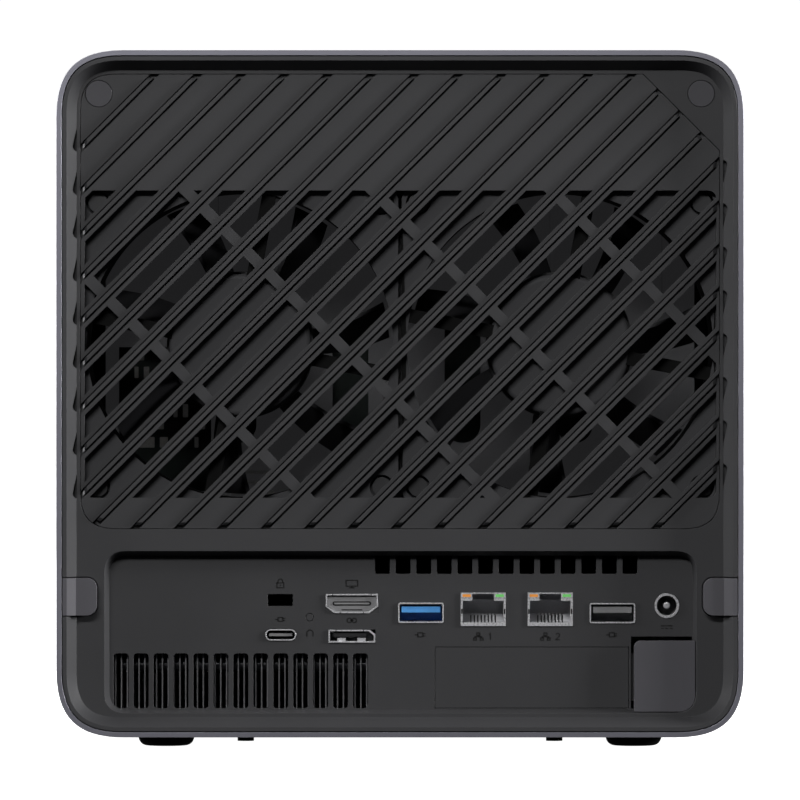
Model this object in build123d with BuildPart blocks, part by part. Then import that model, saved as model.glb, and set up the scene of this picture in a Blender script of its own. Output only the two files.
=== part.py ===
from build123d import *
import math
import os

os.makedirs("parts", exist_ok=True)

# A cube-shaped storage mini computer, in millimetres.
# X runs to the right when the front is faced, +Y points out of the rear (the port side), +Z is up,
# and the feet stand on z = 0. On the rear, "across" is the distance to the right as seen from
# behind, so across = -X, and left and right in the names are as seen from behind.

# ---- case ----------------------------------------------------------------------------------
BODY_WIDTH = 199.0
BODY_HEIGHT = 199.0
BODY_DEPTH = 252.0
FOOT_HEIGHT = 3.5
SHELL_WALL = 1.5
CORNER_REACH = 19.5
CORNER_HANDLE = 0.70
CORNER_SHRINK = 1.24
REAR_Y = BODY_DEPTH / 2
MIDDLE_Z = FOOT_HEIGHT + BODY_HEIGHT / 2
TOP_Z = FOOT_HEIGHT + BODY_HEIGHT

# The end frames are dishes: a flat rim, a slope, and a panel at the bottom of the dish. Insets
# are measured in from the outside of the case.
BEZEL_INSET = 1.8
RIM_INSET = 3.0
PANEL_INSET = 5.6
DISH_DEPTH = 5.0
PANEL_Y = REAR_Y - DISH_DEPTH
PANEL_THICK = 3.0
SKIRT_WALL = 2.0
SKIRT_DEPTH = 22.0
SKIRT_Y = REAR_Y - SKIRT_DEPTH
HOLLOW_INSET = BEZEL_INSET + SKIRT_WALL

FOOT_RADIUS = 8.15
FOOT_ROUND = 2.5
FOOT_SPACING_X = 137.0
FOOT_SPACING_Y = 200.0
BASE_SCREW_ACROSS = 45.0
BASE_SCREW_Y = 110.0
BASE_SCREW_HEAD = 2.4
BASE_SCREW_PROUD = 1.7
BASE_SCREW_SHANK = 1.5

# ---- slatted grille ------------------------------------------------------------------------
GRILLE_HALF = 92.65
GRILLE_LOW = 63.9
GRILLE_HIGH = 195.7
GRILLE_REACH = 10.5
GRILLE_CUT = 22.1
GRILLE_GAP = 0.15
GRILLE_THICK = 2.6
GRILLE_BACK_Y = PANEL_Y - GRILLE_THICK
SLAT_COUNT = 23
SLAT_FIRST = -267.5
SLAT_STEP = 12.594
SLAT_EDGES = (-1.576, 2.54)
GROOVE_EDGES = (-0.512, 1.433)
RIB_EDGES = (-0.184, 0.86)
GROOVE_DEPTH = 1.5
RIB_PROUD = 0.8
RIB_SHORT = 1.0
RIB_END_RUN = 0.8
CROSS_BARS = (45.83, 99.83, 154.14, 206.02)
CROSS_BAR_WIDTH = 3.32
WINDOW_ACROSS = (-91.5, 91.8)
WINDOW_Z = (72.8, 162.0)
STRIP_LENGTH = 420.0
DIAGONAL = 1 / math.sqrt(2)

CAP_DISC_AT = (87.4, 190.1)
CAP_DISC_RADIUS = 3.8
CAP_DISC_HOLE = 3.95
CAP_DISC_DEPTH = 0.9
CAP_BOSS_RADIUS = 7.0

SCOOP_LENGTH = 7.0
SCOOP_WIDTH = 1.1
SCOOP_EDGE = 93.8
SCOOP_FLOOR_Y = 119.6
LEFT_SCOOPS = 9
LEFT_SCOOP_Z = 173.3
RIGHT_SCOOPS = 8
RIGHT_SCOOP_Z = 170.9

TAB_ACROSS = (87.9, 97.7)
TAB_Z = (38.75, 49.6)
TAB_ROUND = 2.9
TAB_GAP = 0.3
TAB_BACK_Y = 107.0
TAB_FACE_Y = 124.3
TAB_KNEE = (93.9, 124.5)
TAB_RIM = 96.5

# ---- fans ----------------------------------------------------------------------------------
FAN_SIZE = 92.0
FAN_PITCH = 93.0
FAN_Z = 117.2
FAN_DEPTH = 25.0
FAN_REAR_Y = 118.0
FAN_FRONT_Y = FAN_REAR_Y - FAN_DEPTH
FAN_FLANGE = 4.0
DUCT_RADIUS = 44.5
DUCT_OUTER = 47.5
FAN_HOLE_SPACING = 82.5
FAN_HOLE_RADIUS = 2.15
FAN_COUNTERBORE = 3.5
FAN_COUNTERBORE_DEPTH = 2.4
PIN_RADIUS = 2.0
PIN_HEAD = 2.8
HUB_RADIUS = 21.4
BLADE_COUNT = 7
BLADE_TIP = 43.4
BLADE_THICK = 1.3
BLADE_STATIONS = ((19.5, 13.0, 62.0, 0.0), (31.0, 15.5, 60.0, 3.0), (44.6, 18.0, 58.0, 8.0))
BLADE_FIRST = 54.0
ROTOR_Y = (96.0, 113.6)
BLADE_MIDDLE_Y = 104.6
MOTOR_RADIUS = 20.7
MOTOR_ROUND = 1.5
STRUT_FIRST = 79.0
STRUT_WIDTH = 4.0
STRUT_DEPTH = 2.6
STRUT_LENGTH = 27.0
STRUT_REACH = 32.0
STRUT_BACK_Y = 115.2

# ---- drive bays ----------------------------------------------------------------------------
BAY_COUNT = 5
BAY_PITCH = 33.4
CAGE_HALF = 88.0
CAGE_WALL = 1.5
CAGE_Z = (64.0, 180.5)
CAGE_Y = (-112.0, 60.0)
SLOT_ACROSS = (-48.3, -14.8, 18.7, 52.2)
SLOT_SIZE = (38.5, 10.7)
SLOT_Z = 107.6
RIB_FROM_SLOT = 6.7
TRAY_Z = (66.2, 178.3)
TRAY_HALF = 15.5
TRAY_SHEET = 1.5
TRAY_RAIL = 2.0
TRAY_BACK_Y = 34.0
TRAY_FACE_HALF = 16.3
TRAY_FACE_Y = -118.5
TRAY_FACE_THICK = 3.0
LEVER_HALF = 13.5
LEVER_Y = (-122.0, -118.8)
LEVER_LOW = 82.0
PIVOT_Z = 169.5
PIVOT_PIN = 1.25
PIVOT_HOLE = 1.33
EAR_ACROSS = (13.9, 16.0)
BACKPLANE_Y = 50.0

# ---- ports, as (across, z) on the rear and (x, z) on the front -------------------------------
POCKET_MOUTH = (-85.8, 86.1, 10.3, 57.35, 6.5)
POCKET_FLOOR = (-84.5, 85.2, 11.2, 55.9, 5.4)
POCKET_FLOOR_Y = 116.5
IO_PLATE_THICK = 2.2
IO_PLATE_BACK_Y = POCKET_FLOOR_Y - IO_PLATE_THICK
IO_PLATE = (-87.3, 87.3, 9.7, 60.0)
PORT_FACE_Y = 116.9
PORT_GAP = 0.1
LOCK_AT = (-34.8, 43.0)
LOCK_SIZE = (7.3, 3.5)
USB_C_AT = (-34.7, 32.9)
USB_C_SIZE = (9.0, 3.3)
RESET_AT = (-26.3, 38.0)
VIDEO_AT = (-14.0, 42.0)
VIDEO_SIZE = (15.2, 5.6)
LINK_AT = (-14.0, 32.5)
LINK_SIZE = (13.6, 3.7)
USB_FAST_AT = (6.1, 39.3)
USB_PLAIN_AT = (61.8, 39.2)
USB_A_SIZE = (13.3, 5.9)
LAN_AT = ((24.2, 40.3), (43.7, 40.3))
LAN_SIZE = (13.1, 9.7)
LAN_LAMP_BLOCK = (3.4, 2.35)
DC_AT = (77.6, 41.4)
DC_RADIUS = 3.6
TOP_VENT_FIRST = -5.1
TOP_VENT_PITCH = 6.0
TOP_VENT_SIZE = (4.3, 6.2)
TOP_VENT_Z = 53.7
LOW_VENT_FIRST = -81.1
LOW_VENT_PITCH = 5.8
LOW_VENT_SIZE = (4.35, 16.0)
LOW_VENT_Z = 19.5
VENT_COUNT = 13
BLANK = (10.1, 66.6, 11.5, 29.4)
BLANK_GAP = 0.15
CAP_HOLE = (67.2, 85.0, 11.4, 32.4)
CAP_FACE = (68.0, 85.7, 10.7, 31.3)
CAP_BACK = (68.0, 85.0, 11.45, 31.3)
CAP_FACE_Y = 120.2

# ---- electronics ---------------------------------------------------------------------------
BOARD_Z = 29.0
BOARD_THICK = 1.6
BOARD_TOP = BOARD_Z + BOARD_THICK
BOARD_HALF = 82.0
BOARD_Y = (-80.0, 108.0)
FRAME_HALF = 86.0
FRAME_WALL = 1.2
FRAME_Z = (6.4, 64.0)
FRAME_Y = 103.6
FIN_X = (9.5, 83.6)
FIN_Y = (98.0, 113.8)
FIN_Z = (10.4, 28.2)
FIN_PITCH = 1.7
FIN_THICK = 0.4
PIPE_RADIUS = 2.2
PIPE_Z = 24.0
BLOWER_BOX = (8.0, 72.0, 40.0, 96.5)
BLOWER_Z = (9.0, 27.0)
BLOWER_AT = (40.0, 67.0)
BLOWER_RADIUS = 23.0
FRONT_USB_A_AT = (-66.0, 38.0)
FRONT_USB_C_AT = (-46.0, 36.8)
POWER_AT = (68.0, 37.0)
POWER_RADIUS = 6.0
LIGHT_Z = 57.5
LIGHT_RADIUS = 1.1
FRONT_BOARD_TOP = 34.6


def rear_plane(y):
    """Plane facing the rear: its x is across, its y is z, and it extrudes towards +Y."""
    return Plane(origin=(0, y, 0), x_dir=(-1, 0, 0), z_dir=(0, 1, 0))


def front_plane(y):
    """Plane facing the front: its x is X, its y is z, and it extrudes towards -Y."""
    return Plane(origin=(0, y, 0), x_dir=(1, 0, 0), z_dir=(0, -1, 0))


def soft_rectangle(left, right, low, high, reach):
    """Rectangle whose corners turn gently, like a squircle, over the given reach."""
    near = reach * (1 - CORNER_HANDLE)
    centre = Vector((left + right) / 2, (low + high) / 2)
    half = Vector((right - left) / 2, (high - low) / 2)
    directions = [Vector(1, 0), Vector(0, 1), Vector(-1, 0), Vector(0, -1)]
    turns = []
    for number in range(4):
        inward = directions[number]
        outward = directions[(number + 1) % 4]
        side = inward - outward
        corner = centre + Vector(side.X * half.X, side.Y * half.Y)
        turns.append(
            [
                corner - inward * reach,
                corner - inward * near,
                corner + outward * near,
                corner + outward * reach,
            ]
        )
    with BuildSketch() as outline:
        with BuildLine():
            for number in range(4):
                Bezier(*turns[number])
                Line(turns[number][3], turns[(number + 1) % 4][0])
        make_face()
    return outline.sketch


def case_outline(inset):
    """Outline of the case, moved in by the given distance."""
    return soft_rectangle(
        inset - BODY_WIDTH / 2,
        BODY_WIDTH / 2 - inset,
        FOOT_HEIGHT + inset,
        TOP_Z - inset,
        CORNER_REACH - CORNER_SHRINK * inset,
    )


def box_sketch(left, right, low, high):
    """Plain rectangle between the given sides."""
    with BuildSketch() as outline:
        with Locations(((left + right) / 2, (low + high) / 2)):
            Rectangle(right - left, high - low)
    return outline.sketch


def grille_outline(grow):
    """Outline of the grille: soft corners, with the upper right one cut off at 45 degrees."""
    with BuildSketch() as outline:
        add(
            soft_rectangle(
                -GRILLE_HALF - grow,
                GRILLE_HALF + grow,
                GRILLE_LOW - grow,
                GRILLE_HIGH + grow,
                GRILLE_REACH,
            )
        )
        corner_x = GRILLE_HALF + grow
        corner_z = GRILLE_HIGH + grow
        cut = GRILLE_CUT + 2 * grow - grow / DIAGONAL
        with BuildLine():
            Polyline(
                (corner_x, corner_z - cut),
                (corner_x - cut, corner_z),
                (corner_x + 1, corner_z + 1),
                close=True,
            )
        make_face(mode=Mode.SUBTRACT)
    return outline.sketch


def slat_strips(edges):
    """Diagonal strips, one on each slat, between two distances across the slat's line."""
    middle = (GRILLE_LOW + GRILLE_HIGH) / 2
    with BuildSketch() as strips:
        for number in range(SLAT_COUNT):
            line = SLAT_FIRST + number * SLAT_STEP
            shift = (line + middle) * DIAGONAL + sum(edges) / 2
            with Locations((shift * DIAGONAL, middle - shift * DIAGONAL)):
                Rectangle(STRIP_LENGTH, edges[1] - edges[0], rotation=45)
    return strips.sketch


# ---- outer case ------------------------------------------------------------------------------
with BuildPart() as outer_shell:
    with BuildSketch(rear_plane(-REAR_Y)):
        add(case_outline(0))
        add(case_outline(SHELL_WALL), mode=Mode.SUBTRACT)
    extrude(amount=BODY_DEPTH)
    with BuildSketch(Plane.XY.offset(FOOT_HEIGHT - 1)):
        with Locations((-BASE_SCREW_ACROSS, BASE_SCREW_Y), (BASE_SCREW_ACROSS, BASE_SCREW_Y)):
            Circle(BASE_SCREW_SHANK + 0.1)
    extrude(amount=SHELL_WALL + 2, mode=Mode.SUBTRACT)
outer_shell.part.label = "outer_shell"
export_step(outer_shell.part, "parts/outer_shell.step")

with BuildPart() as rubber_feet:
    with BuildSketch(Plane.XY):
        with GridLocations(FOOT_SPACING_X, FOOT_SPACING_Y, 2, 2):
            Circle(FOOT_RADIUS)
    extrude(amount=FOOT_HEIGHT)
    fillet(rubber_feet.edges().group_by(Axis.Z)[0], FOOT_ROUND)
rubber_feet.part.label = "rubber_feet"
export_step(rubber_feet.part, "parts/rubber_feet.step")

with BuildPart() as bottom_screws:
    with BuildSketch(Plane.XY.offset(FOOT_HEIGHT - BASE_SCREW_PROUD)):
        with Locations((-BASE_SCREW_ACROSS, BASE_SCREW_Y), (BASE_SCREW_ACROSS, BASE_SCREW_Y)):
            Circle(BASE_SCREW_HEAD)
    extrude(amount=BASE_SCREW_PROUD)
    with BuildSketch(Plane.XY.offset(FOOT_HEIGHT)):
        with Locations((-BASE_SCREW_ACROSS, BASE_SCREW_Y), (BASE_SCREW_ACROSS, BASE_SCREW_Y)):
            Circle(BASE_SCREW_SHANK)
    extrude(amount=SHELL_WALL - 0.2)
bottom_screws.part.label = "bottom_screws"
export_step(bottom_screws.part, "parts/bottom_screws.step")

# ---- rear frame ------------------------------------------------------------------------------
LOWER_PANEL_TOP = GRILLE_LOW - 1.5

with BuildPart() as rear_bezel:
    with BuildSketch(rear_plane(SKIRT_Y)):
        add(case_outline(BEZEL_INSET))
    extrude(amount=SKIRT_DEPTH)
    with BuildSketch(rear_plane(REAR_Y)):
        add(case_outline(RIM_INSET))
    with BuildSketch(rear_plane(PANEL_Y)):
        add(case_outline(PANEL_INSET))
    loft(ruled=True, mode=Mode.SUBTRACT)
    with BuildSketch(rear_plane(SKIRT_Y)):
        add(case_outline(HOLLOW_INSET))
    extrude(amount=PANEL_Y - PANEL_THICK - SKIRT_Y, mode=Mode.SUBTRACT)
    # The lower panel is thicker, because it carries the walls of the port pocket.
    with BuildSketch(rear_plane(POCKET_FLOOR_Y)):
        add(case_outline(HOLLOW_INSET - 0.5))
        add(box_sketch(-BODY_WIDTH, BODY_WIDTH, 0, LOWER_PANEL_TOP), mode=Mode.INTERSECT)
    extrude(amount=PANEL_Y - PANEL_THICK - POCKET_FLOOR_Y)
    # Bosses behind the two top screws.
    with BuildSketch(rear_plane(PANEL_Y - PANEL_THICK - 6)):
        with Locations((-CAP_DISC_AT[0], CAP_DISC_AT[1]), CAP_DISC_AT):
            Circle(CAP_BOSS_RADIUS)
        add(case_outline(HOLLOW_INSET - 0.5), mode=Mode.INTERSECT)
    extrude(amount=6)
    with BuildSketch(rear_plane(GRILLE_BACK_Y)):
        add(grille_outline(GRILLE_GAP))
    extrude(amount=GRILLE_THICK + 1, mode=Mode.SUBTRACT)
    with BuildSketch(rear_plane(PANEL_Y - PANEL_THICK)):
        add(grille_outline(-1.0))
        with Locations((-CAP_DISC_AT[0], CAP_DISC_AT[1])):
            Circle(CAP_BOSS_RADIUS, mode=Mode.SUBTRACT)
    extrude(amount=PANEL_THICK, mode=Mode.SUBTRACT)
    with BuildSketch(rear_plane(PANEL_Y - CAP_DISC_DEPTH)):
        with Locations(CAP_DISC_AT):
            Circle(CAP_DISC_HOLE)
    extrude(amount=CAP_DISC_DEPTH + 0.2, mode=Mode.SUBTRACT)
    with BuildSketch(rear_plane(PANEL_Y)):
        add(soft_rectangle(*POCKET_MOUTH))
    with BuildSketch(rear_plane(POCKET_FLOOR_Y)):
        add(soft_rectangle(*POCKET_FLOOR))
    loft(ruled=True, mode=Mode.SUBTRACT)
    with BuildSketch(rear_plane(SKIRT_Y)) as tab_slots:
        for side in (-1, 1):
            inner = side * (TAB_ACROSS[0] - TAB_GAP)
            outer = side * BODY_WIDTH / 2
            slot_edges = sorted((inner, outer))
            add(box_sketch(*slot_edges, TAB_Z[0] - TAB_GAP, TAB_Z[1] + TAB_GAP))
        corners = tab_slots.vertices().group_by(Axis.X)
        fillet(corners[1] + corners[2], TAB_ROUND + TAB_GAP)
    extrude(amount=SKIRT_DEPTH, mode=Mode.SUBTRACT)
    # Teardrop scoops run out of the slats into the side slopes: blunt at the slat, pointed away.
    with BuildSketch(rear_plane(SCOOP_FLOOR_Y)):
        for count, first, side, way in (
            (LEFT_SCOOPS, LEFT_SCOOP_Z, -1, 1),
            (RIGHT_SCOOPS, RIGHT_SCOOP_Z, 1, -1),
        ):
            for number in range(count):
                start = first - number * SLAT_STEP
                edge = side * SCOOP_EDGE
                far = side * (SCOOP_EDGE + SCOOP_WIDTH)
                with BuildLine():
                    bend = (far - side * 0.2, start + way * 0.7)
                    turn = (far, start + way * 2)
                    ThreePointArc((edge, start), bend, turn)
                    Line(turn, (edge, start + way * SCOOP_LENGTH))
                    Line((edge, start + way * SCOOP_LENGTH), (edge, start))
                make_face()
    extrude(amount=DISH_DEPTH, mode=Mode.SUBTRACT)
rear_bezel.part.label = "rear_bezel"
export_step(rear_bezel.part, "parts/rear_bezel.step")

# Each slat carries a thin rib that stands in a groove and is proud of the face. The ribs stop
# short of the edge and their ends slope down.
with BuildPart() as ribs:
    with BuildSketch(rear_plane(PANEL_Y - GROOVE_DEPTH)):
        add(grille_outline(-RIB_SHORT))
    extrude(amount=GROOVE_DEPTH)
    with BuildSketch(rear_plane(PANEL_Y)):
        add(grille_outline(-RIB_SHORT))
    with BuildSketch(rear_plane(PANEL_Y + RIB_PROUD)):
        add(grille_outline(-RIB_SHORT - RIB_END_RUN))
    loft(ruled=True)
    with BuildSketch(rear_plane(PANEL_Y - GROOVE_DEPTH)):
        add(slat_strips(RIB_EDGES))
    extrude(amount=GROOVE_DEPTH + RIB_PROUD, mode=Mode.INTERSECT)

with BuildPart() as fan_grille:
    with BuildSketch(rear_plane(GRILLE_BACK_Y)):
        add(grille_outline(0))
    extrude(amount=GRILLE_THICK)
    with BuildSketch(rear_plane(GRILLE_BACK_Y)):
        add(soft_rectangle(*WINDOW_ACROSS, *WINDOW_Z, 3.0))
        add(slat_strips(SLAT_EDGES), mode=Mode.SUBTRACT)
        for line in CROSS_BARS:
            middle = (GRILLE_LOW + GRILLE_HIGH) / 2
            shift = (line - middle) / 2
            with Locations((shift, middle + shift)):
                Rectangle(STRIP_LENGTH, CROSS_BAR_WIDTH, rotation=-45, mode=Mode.SUBTRACT)
    extrude(amount=GRILLE_THICK, mode=Mode.SUBTRACT)
    with BuildSketch(rear_plane(PANEL_Y - GROOVE_DEPTH)):
        add(slat_strips(GROOVE_EDGES))
    extrude(amount=GROOVE_DEPTH, mode=Mode.SUBTRACT)
    with BuildSketch(rear_plane(PANEL_Y - CAP_DISC_DEPTH)):
        with Locations((-CAP_DISC_AT[0], CAP_DISC_AT[1])):
            Circle(CAP_DISC_HOLE)
    extrude(amount=CAP_DISC_DEPTH, mode=Mode.SUBTRACT)
    add(ribs.part)
fan_grille.part.label = "fan_grille"
export_step(fan_grille.part, "parts/fan_grille.step")

with BuildPart() as screw_caps:
    with BuildSketch(rear_plane(PANEL_Y - CAP_DISC_DEPTH)):
        with Locations((-CAP_DISC_AT[0], CAP_DISC_AT[1]), CAP_DISC_AT):
            Circle(CAP_DISC_RADIUS)
    extrude(amount=CAP_DISC_DEPTH + 0.1)
screw_caps.part.label = "screw_caps"
export_step(screw_caps.part, "parts/screw_caps.step")

for side, name in ((-1, "release_tab_left"), (1, "release_tab_right")):
    with BuildPart() as release_tab:
        with BuildSketch(rear_plane(TAB_BACK_Y)) as tab_outline:
            add(box_sketch(*sorted((side * TAB_ACROSS[0], side * TAB_ACROSS[1])), *TAB_Z))
            inner_corners = tab_outline.vertices().group_by(Axis.X)[1 if side < 0 else 0]
            fillet(inner_corners, TAB_ROUND)
        extrude(amount=REAR_Y - TAB_BACK_Y)
        # The face is level at the rim, slopes down over the dish's slope, then runs level inwards.
        with BuildSketch(Plane.XY.offset(TAB_Z[0] - 1)):
            with BuildLine():
                Polyline(
                    (-side * TAB_RIM, REAR_Y + 1),
                    (-side * TAB_RIM, REAR_Y),
                    (-side * TAB_KNEE[0], TAB_KNEE[1]),
                    (-side * (TAB_ACROSS[0] - 1), TAB_FACE_Y),
                    (-side * (TAB_ACROSS[0] - 1), REAR_Y + 1),
                    close=True,
                )
            make_face()
        extrude(amount=TAB_Z[1] - TAB_Z[0] + 2, mode=Mode.SUBTRACT)
    release_tab.part.label = name
    export_step(release_tab.part, f"parts/{name}.step")

# ---- port plate ------------------------------------------------------------------------------
with BuildPart() as io_plate:
    with BuildSketch(rear_plane(IO_PLATE_BACK_Y)):
        add(box_sketch(*IO_PLATE))
    extrude(amount=IO_PLATE_THICK)
    with BuildSketch(rear_plane(IO_PLATE_BACK_Y)):
        for number in range(VENT_COUNT):
            with Locations((TOP_VENT_FIRST + number * TOP_VENT_PITCH, TOP_VENT_Z)):
                RectangleRounded(*TOP_VENT_SIZE, 0.5)
            with Locations((LOW_VENT_FIRST + number * LOW_VENT_PITCH, LOW_VENT_Z)):
                RectangleRounded(*LOW_VENT_SIZE, 1.0)
        with Locations(LOCK_AT):
            RectangleRounded(*LOCK_SIZE, 0.4)
        with Locations(USB_C_AT):
            SlotOverall(USB_C_SIZE[0] + 2 * PORT_GAP, USB_C_SIZE[1] + 2 * PORT_GAP)
        with Locations(RESET_AT):
            Circle(1.2)
        with Locations(VIDEO_AT):
            Rectangle(VIDEO_SIZE[0] + 2 * PORT_GAP, VIDEO_SIZE[1] + 2 * PORT_GAP)
        with Locations(LINK_AT):
            Rectangle(LINK_SIZE[0] + 2 * PORT_GAP, LINK_SIZE[1] + 2 * PORT_GAP)
        with Locations(USB_FAST_AT, USB_PLAIN_AT):
            RectangleRounded(USB_A_SIZE[0] + 2 * PORT_GAP, USB_A_SIZE[1] + 2 * PORT_GAP, 0.7)
        with Locations(*LAN_AT):
            Rectangle(LAN_SIZE[0] + 2 * PORT_GAP, LAN_SIZE[1] + 2 * PORT_GAP)
        with Locations(DC_AT):
            Circle(DC_RADIUS + PORT_GAP)
        add(box_sketch(*BLANK))
        add(box_sketch(*CAP_HOLE))
    extrude(amount=IO_PLATE_THICK, mode=Mode.SUBTRACT)
io_plate.part.label = "io_plate"
export_step(io_plate.part, "parts/io_plate.step")

# Blank for the expansion slot: a plate flush with the pocket's floor, with its ear behind the cap.
with BuildPart() as bracket_blank:
    with BuildSketch(rear_plane(IO_PLATE_BACK_Y)):
        left, right, low, high = BLANK
        add(box_sketch(left + BLANK_GAP, right - BLANK_GAP, low + BLANK_GAP, high - BLANK_GAP))
    extrude(amount=IO_PLATE_THICK)
    with BuildSketch(rear_plane(IO_PLATE_BACK_Y - 1.2)):
        add(box_sketch(BLANK[0] - 4, BLANK[1] + 12, BLANK[2] + 2, BLANK[3] - 2))
    extrude(amount=1.2)
bracket_blank.part.label = "bracket_blank"
export_step(bracket_blank.part, "parts/bracket_blank.step")

with BuildPart() as bracket_cap:
    with BuildSketch(rear_plane(POCKET_FLOOR_Y + 0.1)) as cap_back:
        add(box_sketch(*CAP_BACK))
        fillet(cap_back.vertices().group_by(Axis.X)[0].sort_by(Axis.Y)[-1:], 2.0)
        fillet(cap_back.vertices().group_by(Axis.X)[-1].sort_by(Axis.Y)[0:1], 4.2)
    with BuildSketch(rear_plane(CAP_FACE_Y)) as cap_front:
        add(box_sketch(*CAP_FACE))
        fillet(cap_front.vertices().group_by(Axis.X)[0].sort_by(Axis.Y)[-1:], 2.0)
        fillet(cap_front.vertices().group_by(Axis.X)[-1].sort_by(Axis.Y)[0:1], 4.6)
    loft(ruled=True)
    with BuildSketch(rear_plane(IO_PLATE_BACK_Y)):
        with Locations((80, 29), (80, 15)):
            Rectangle(7, 2)
    extrude(amount=POCKET_FLOOR_Y + 0.1 - IO_PLATE_BACK_Y)
bracket_cap.part.label = "bracket_cap"
export_step(bracket_cap.part, "parts/bracket_cap.step")


# ---- sockets ---------------------------------------------------------------------------------
def rectangle_at(centre, width, height, shift=(0, 0), rounding=0):
    """Rectangle near a port's centre, with rounded corners if asked."""
    with BuildSketch() as outline:
        with Locations((centre[0] + shift[0], centre[1] + shift[1])):
            if rounding:
                RectangleRounded(width, height, rounding)
            else:
                Rectangle(width, height)
    return outline.sketch


def video_outline(centre, shrink):
    """Video socket: wide at the top, with its two lower corners cut."""
    half = VIDEO_SIZE[0] / 2 - shrink
    tall = VIDEO_SIZE[1] / 2 - shrink
    with BuildSketch() as outline:
        with BuildLine():
            Polyline(
                (centre[0] - half, centre[1] + tall),
                (centre[0] + half, centre[1] + tall),
                (centre[0] + half, centre[1] - 0.9),
                (centre[0] + half - 2.5, centre[1] - tall),
                (centre[0] - half + 2.5, centre[1] - tall),
                (centre[0] - half, centre[1] - 0.9),
                close=True,
            )
        make_face()
    return outline.sketch


def link_outline(centre, shrink):
    """Link socket: a slim rectangle with its upper right corner cut."""
    half = LINK_SIZE[0] / 2 - shrink
    tall = LINK_SIZE[1] / 2 - shrink
    with BuildSketch() as outline:
        with BuildLine():
            Polyline(
                (centre[0] - half, centre[1] - tall),
                (centre[0] - half, centre[1] + tall),
                (centre[0] + half - 1.5, centre[1] + tall),
                (centre[0] + half, centre[1] + tall - 1.3),
                (centre[0] + half, centre[1] - tall),
                close=True,
            )
        make_face()
    return outline.sketch


SHELL_SHEET = 0.4
USB_A_DEPTH = 14.0
USB_C_DEPTH = 9.0
FRONT_FACE_Y = -PORT_FACE_Y - 4.4
REAR_USB_A = (rear_plane(PORT_FACE_Y - USB_A_DEPTH), rear_plane(PORT_FACE_Y - USB_A_DEPTH + 1))
FRONT_USB_A = (front_plane(FRONT_FACE_Y + USB_A_DEPTH), front_plane(FRONT_FACE_Y + USB_A_DEPTH - 1))
USB_A_PLACES = ((REAR_USB_A, USB_FAST_AT), (REAR_USB_A, USB_PLAIN_AT), (FRONT_USB_A, FRONT_USB_A_AT))

with BuildPart() as usb_a_shells:
    for planes, centre in USB_A_PLACES:
        with BuildSketch(planes[0]):
            add(rectangle_at(centre, *USB_A_SIZE, rounding=0.7))
        extrude(amount=USB_A_DEPTH)
        with BuildSketch(planes[1]):
            inner = (USB_A_SIZE[0] - 2 * SHELL_SHEET, USB_A_SIZE[1] - 2 * SHELL_SHEET)
            add(rectangle_at(centre, *inner, rounding=0.3))
        extrude(amount=USB_A_DEPTH - 1, mode=Mode.SUBTRACT)
        # Solder legs down to the board.
        with BuildSketch(planes[0]):
            board = BOARD_TOP if planes is REAR_USB_A else FRONT_BOARD_TOP
            leg = centre[1] - USB_A_SIZE[1] / 2 - board
            for side in (-1, 1):
                shift = (side * (USB_A_SIZE[0] / 2 - 0.9), -USB_A_SIZE[1] / 2 - leg / 2 + 0.2)
                add(rectangle_at(centre, 0.5, leg + 0.4, shift))
        extrude(amount=4)
usb_a_shells.part.label = "usb_a_shells"
export_step(usb_a_shells.part, "parts/usb_a_shells.step")

USB_TONGUES = (
    ("usb_tongues_fast", ((REAR_USB_A, USB_FAST_AT), (FRONT_USB_A, FRONT_USB_A_AT))),
    ("usb_tongue_plain", ((REAR_USB_A, USB_PLAIN_AT),)),
)
for name, places in USB_TONGUES:
    with BuildPart() as usb_tongue:
        for planes, centre in places:
            with BuildSketch(planes[1]):
                add(rectangle_at(centre, 12.3, 4.9, rounding=0.2))
            extrude(amount=3)
            with BuildSketch(planes[1]):
                add(rectangle_at(centre, 11.2, 1.75, (0, 0.95)))
            extrude(amount=USB_A_DEPTH - 2)
    usb_tongue.part.label = name
    export_step(usb_tongue.part, f"parts/{name}.step")

USB_C_PLACES = (
    (rear_plane(PORT_FACE_Y - USB_C_DEPTH), USB_C_AT, BOARD_TOP),
    (front_plane(FRONT_FACE_Y + USB_C_DEPTH), FRONT_USB_C_AT, FRONT_BOARD_TOP),
)
with BuildPart() as usb_c_shells:
    for plane, centre, board in USB_C_PLACES:
        with BuildSketch(plane):
            with Locations(centre):
                SlotOverall(*USB_C_SIZE)
        extrude(amount=1)
        with BuildSketch(plane):
            with Locations(centre):
                SlotOverall(*USB_C_SIZE)
                SlotOverall(USB_C_SIZE[0] - 0.7, USB_C_SIZE[1] - 0.7, mode=Mode.SUBTRACT)
        extrude(amount=USB_C_DEPTH)
        with BuildSketch(plane):
            leg = centre[1] - USB_C_SIZE[1] / 2 - board + 0.1
            if leg > 0.2:
                add(rectangle_at(centre, 3, leg, (0, -USB_C_SIZE[1] / 2 - leg / 2 + 0.1)))
        extrude(amount=2)
usb_c_shells.part.label = "usb_c_shells"
export_step(usb_c_shells.part, "parts/usb_c_shells.step")

with BuildPart() as usb_c_tongues:
    for plane, centre, board in USB_C_PLACES:
        with BuildSketch(plane.offset(1)):
            add(rectangle_at(centre, 6.7, 0.8))
        extrude(amount=USB_C_DEPTH - 1.5)
usb_c_tongues.part.label = "usb_c_tongues"
export_step(usb_c_tongues.part, "parts/usb_c_tongues.step")

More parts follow.
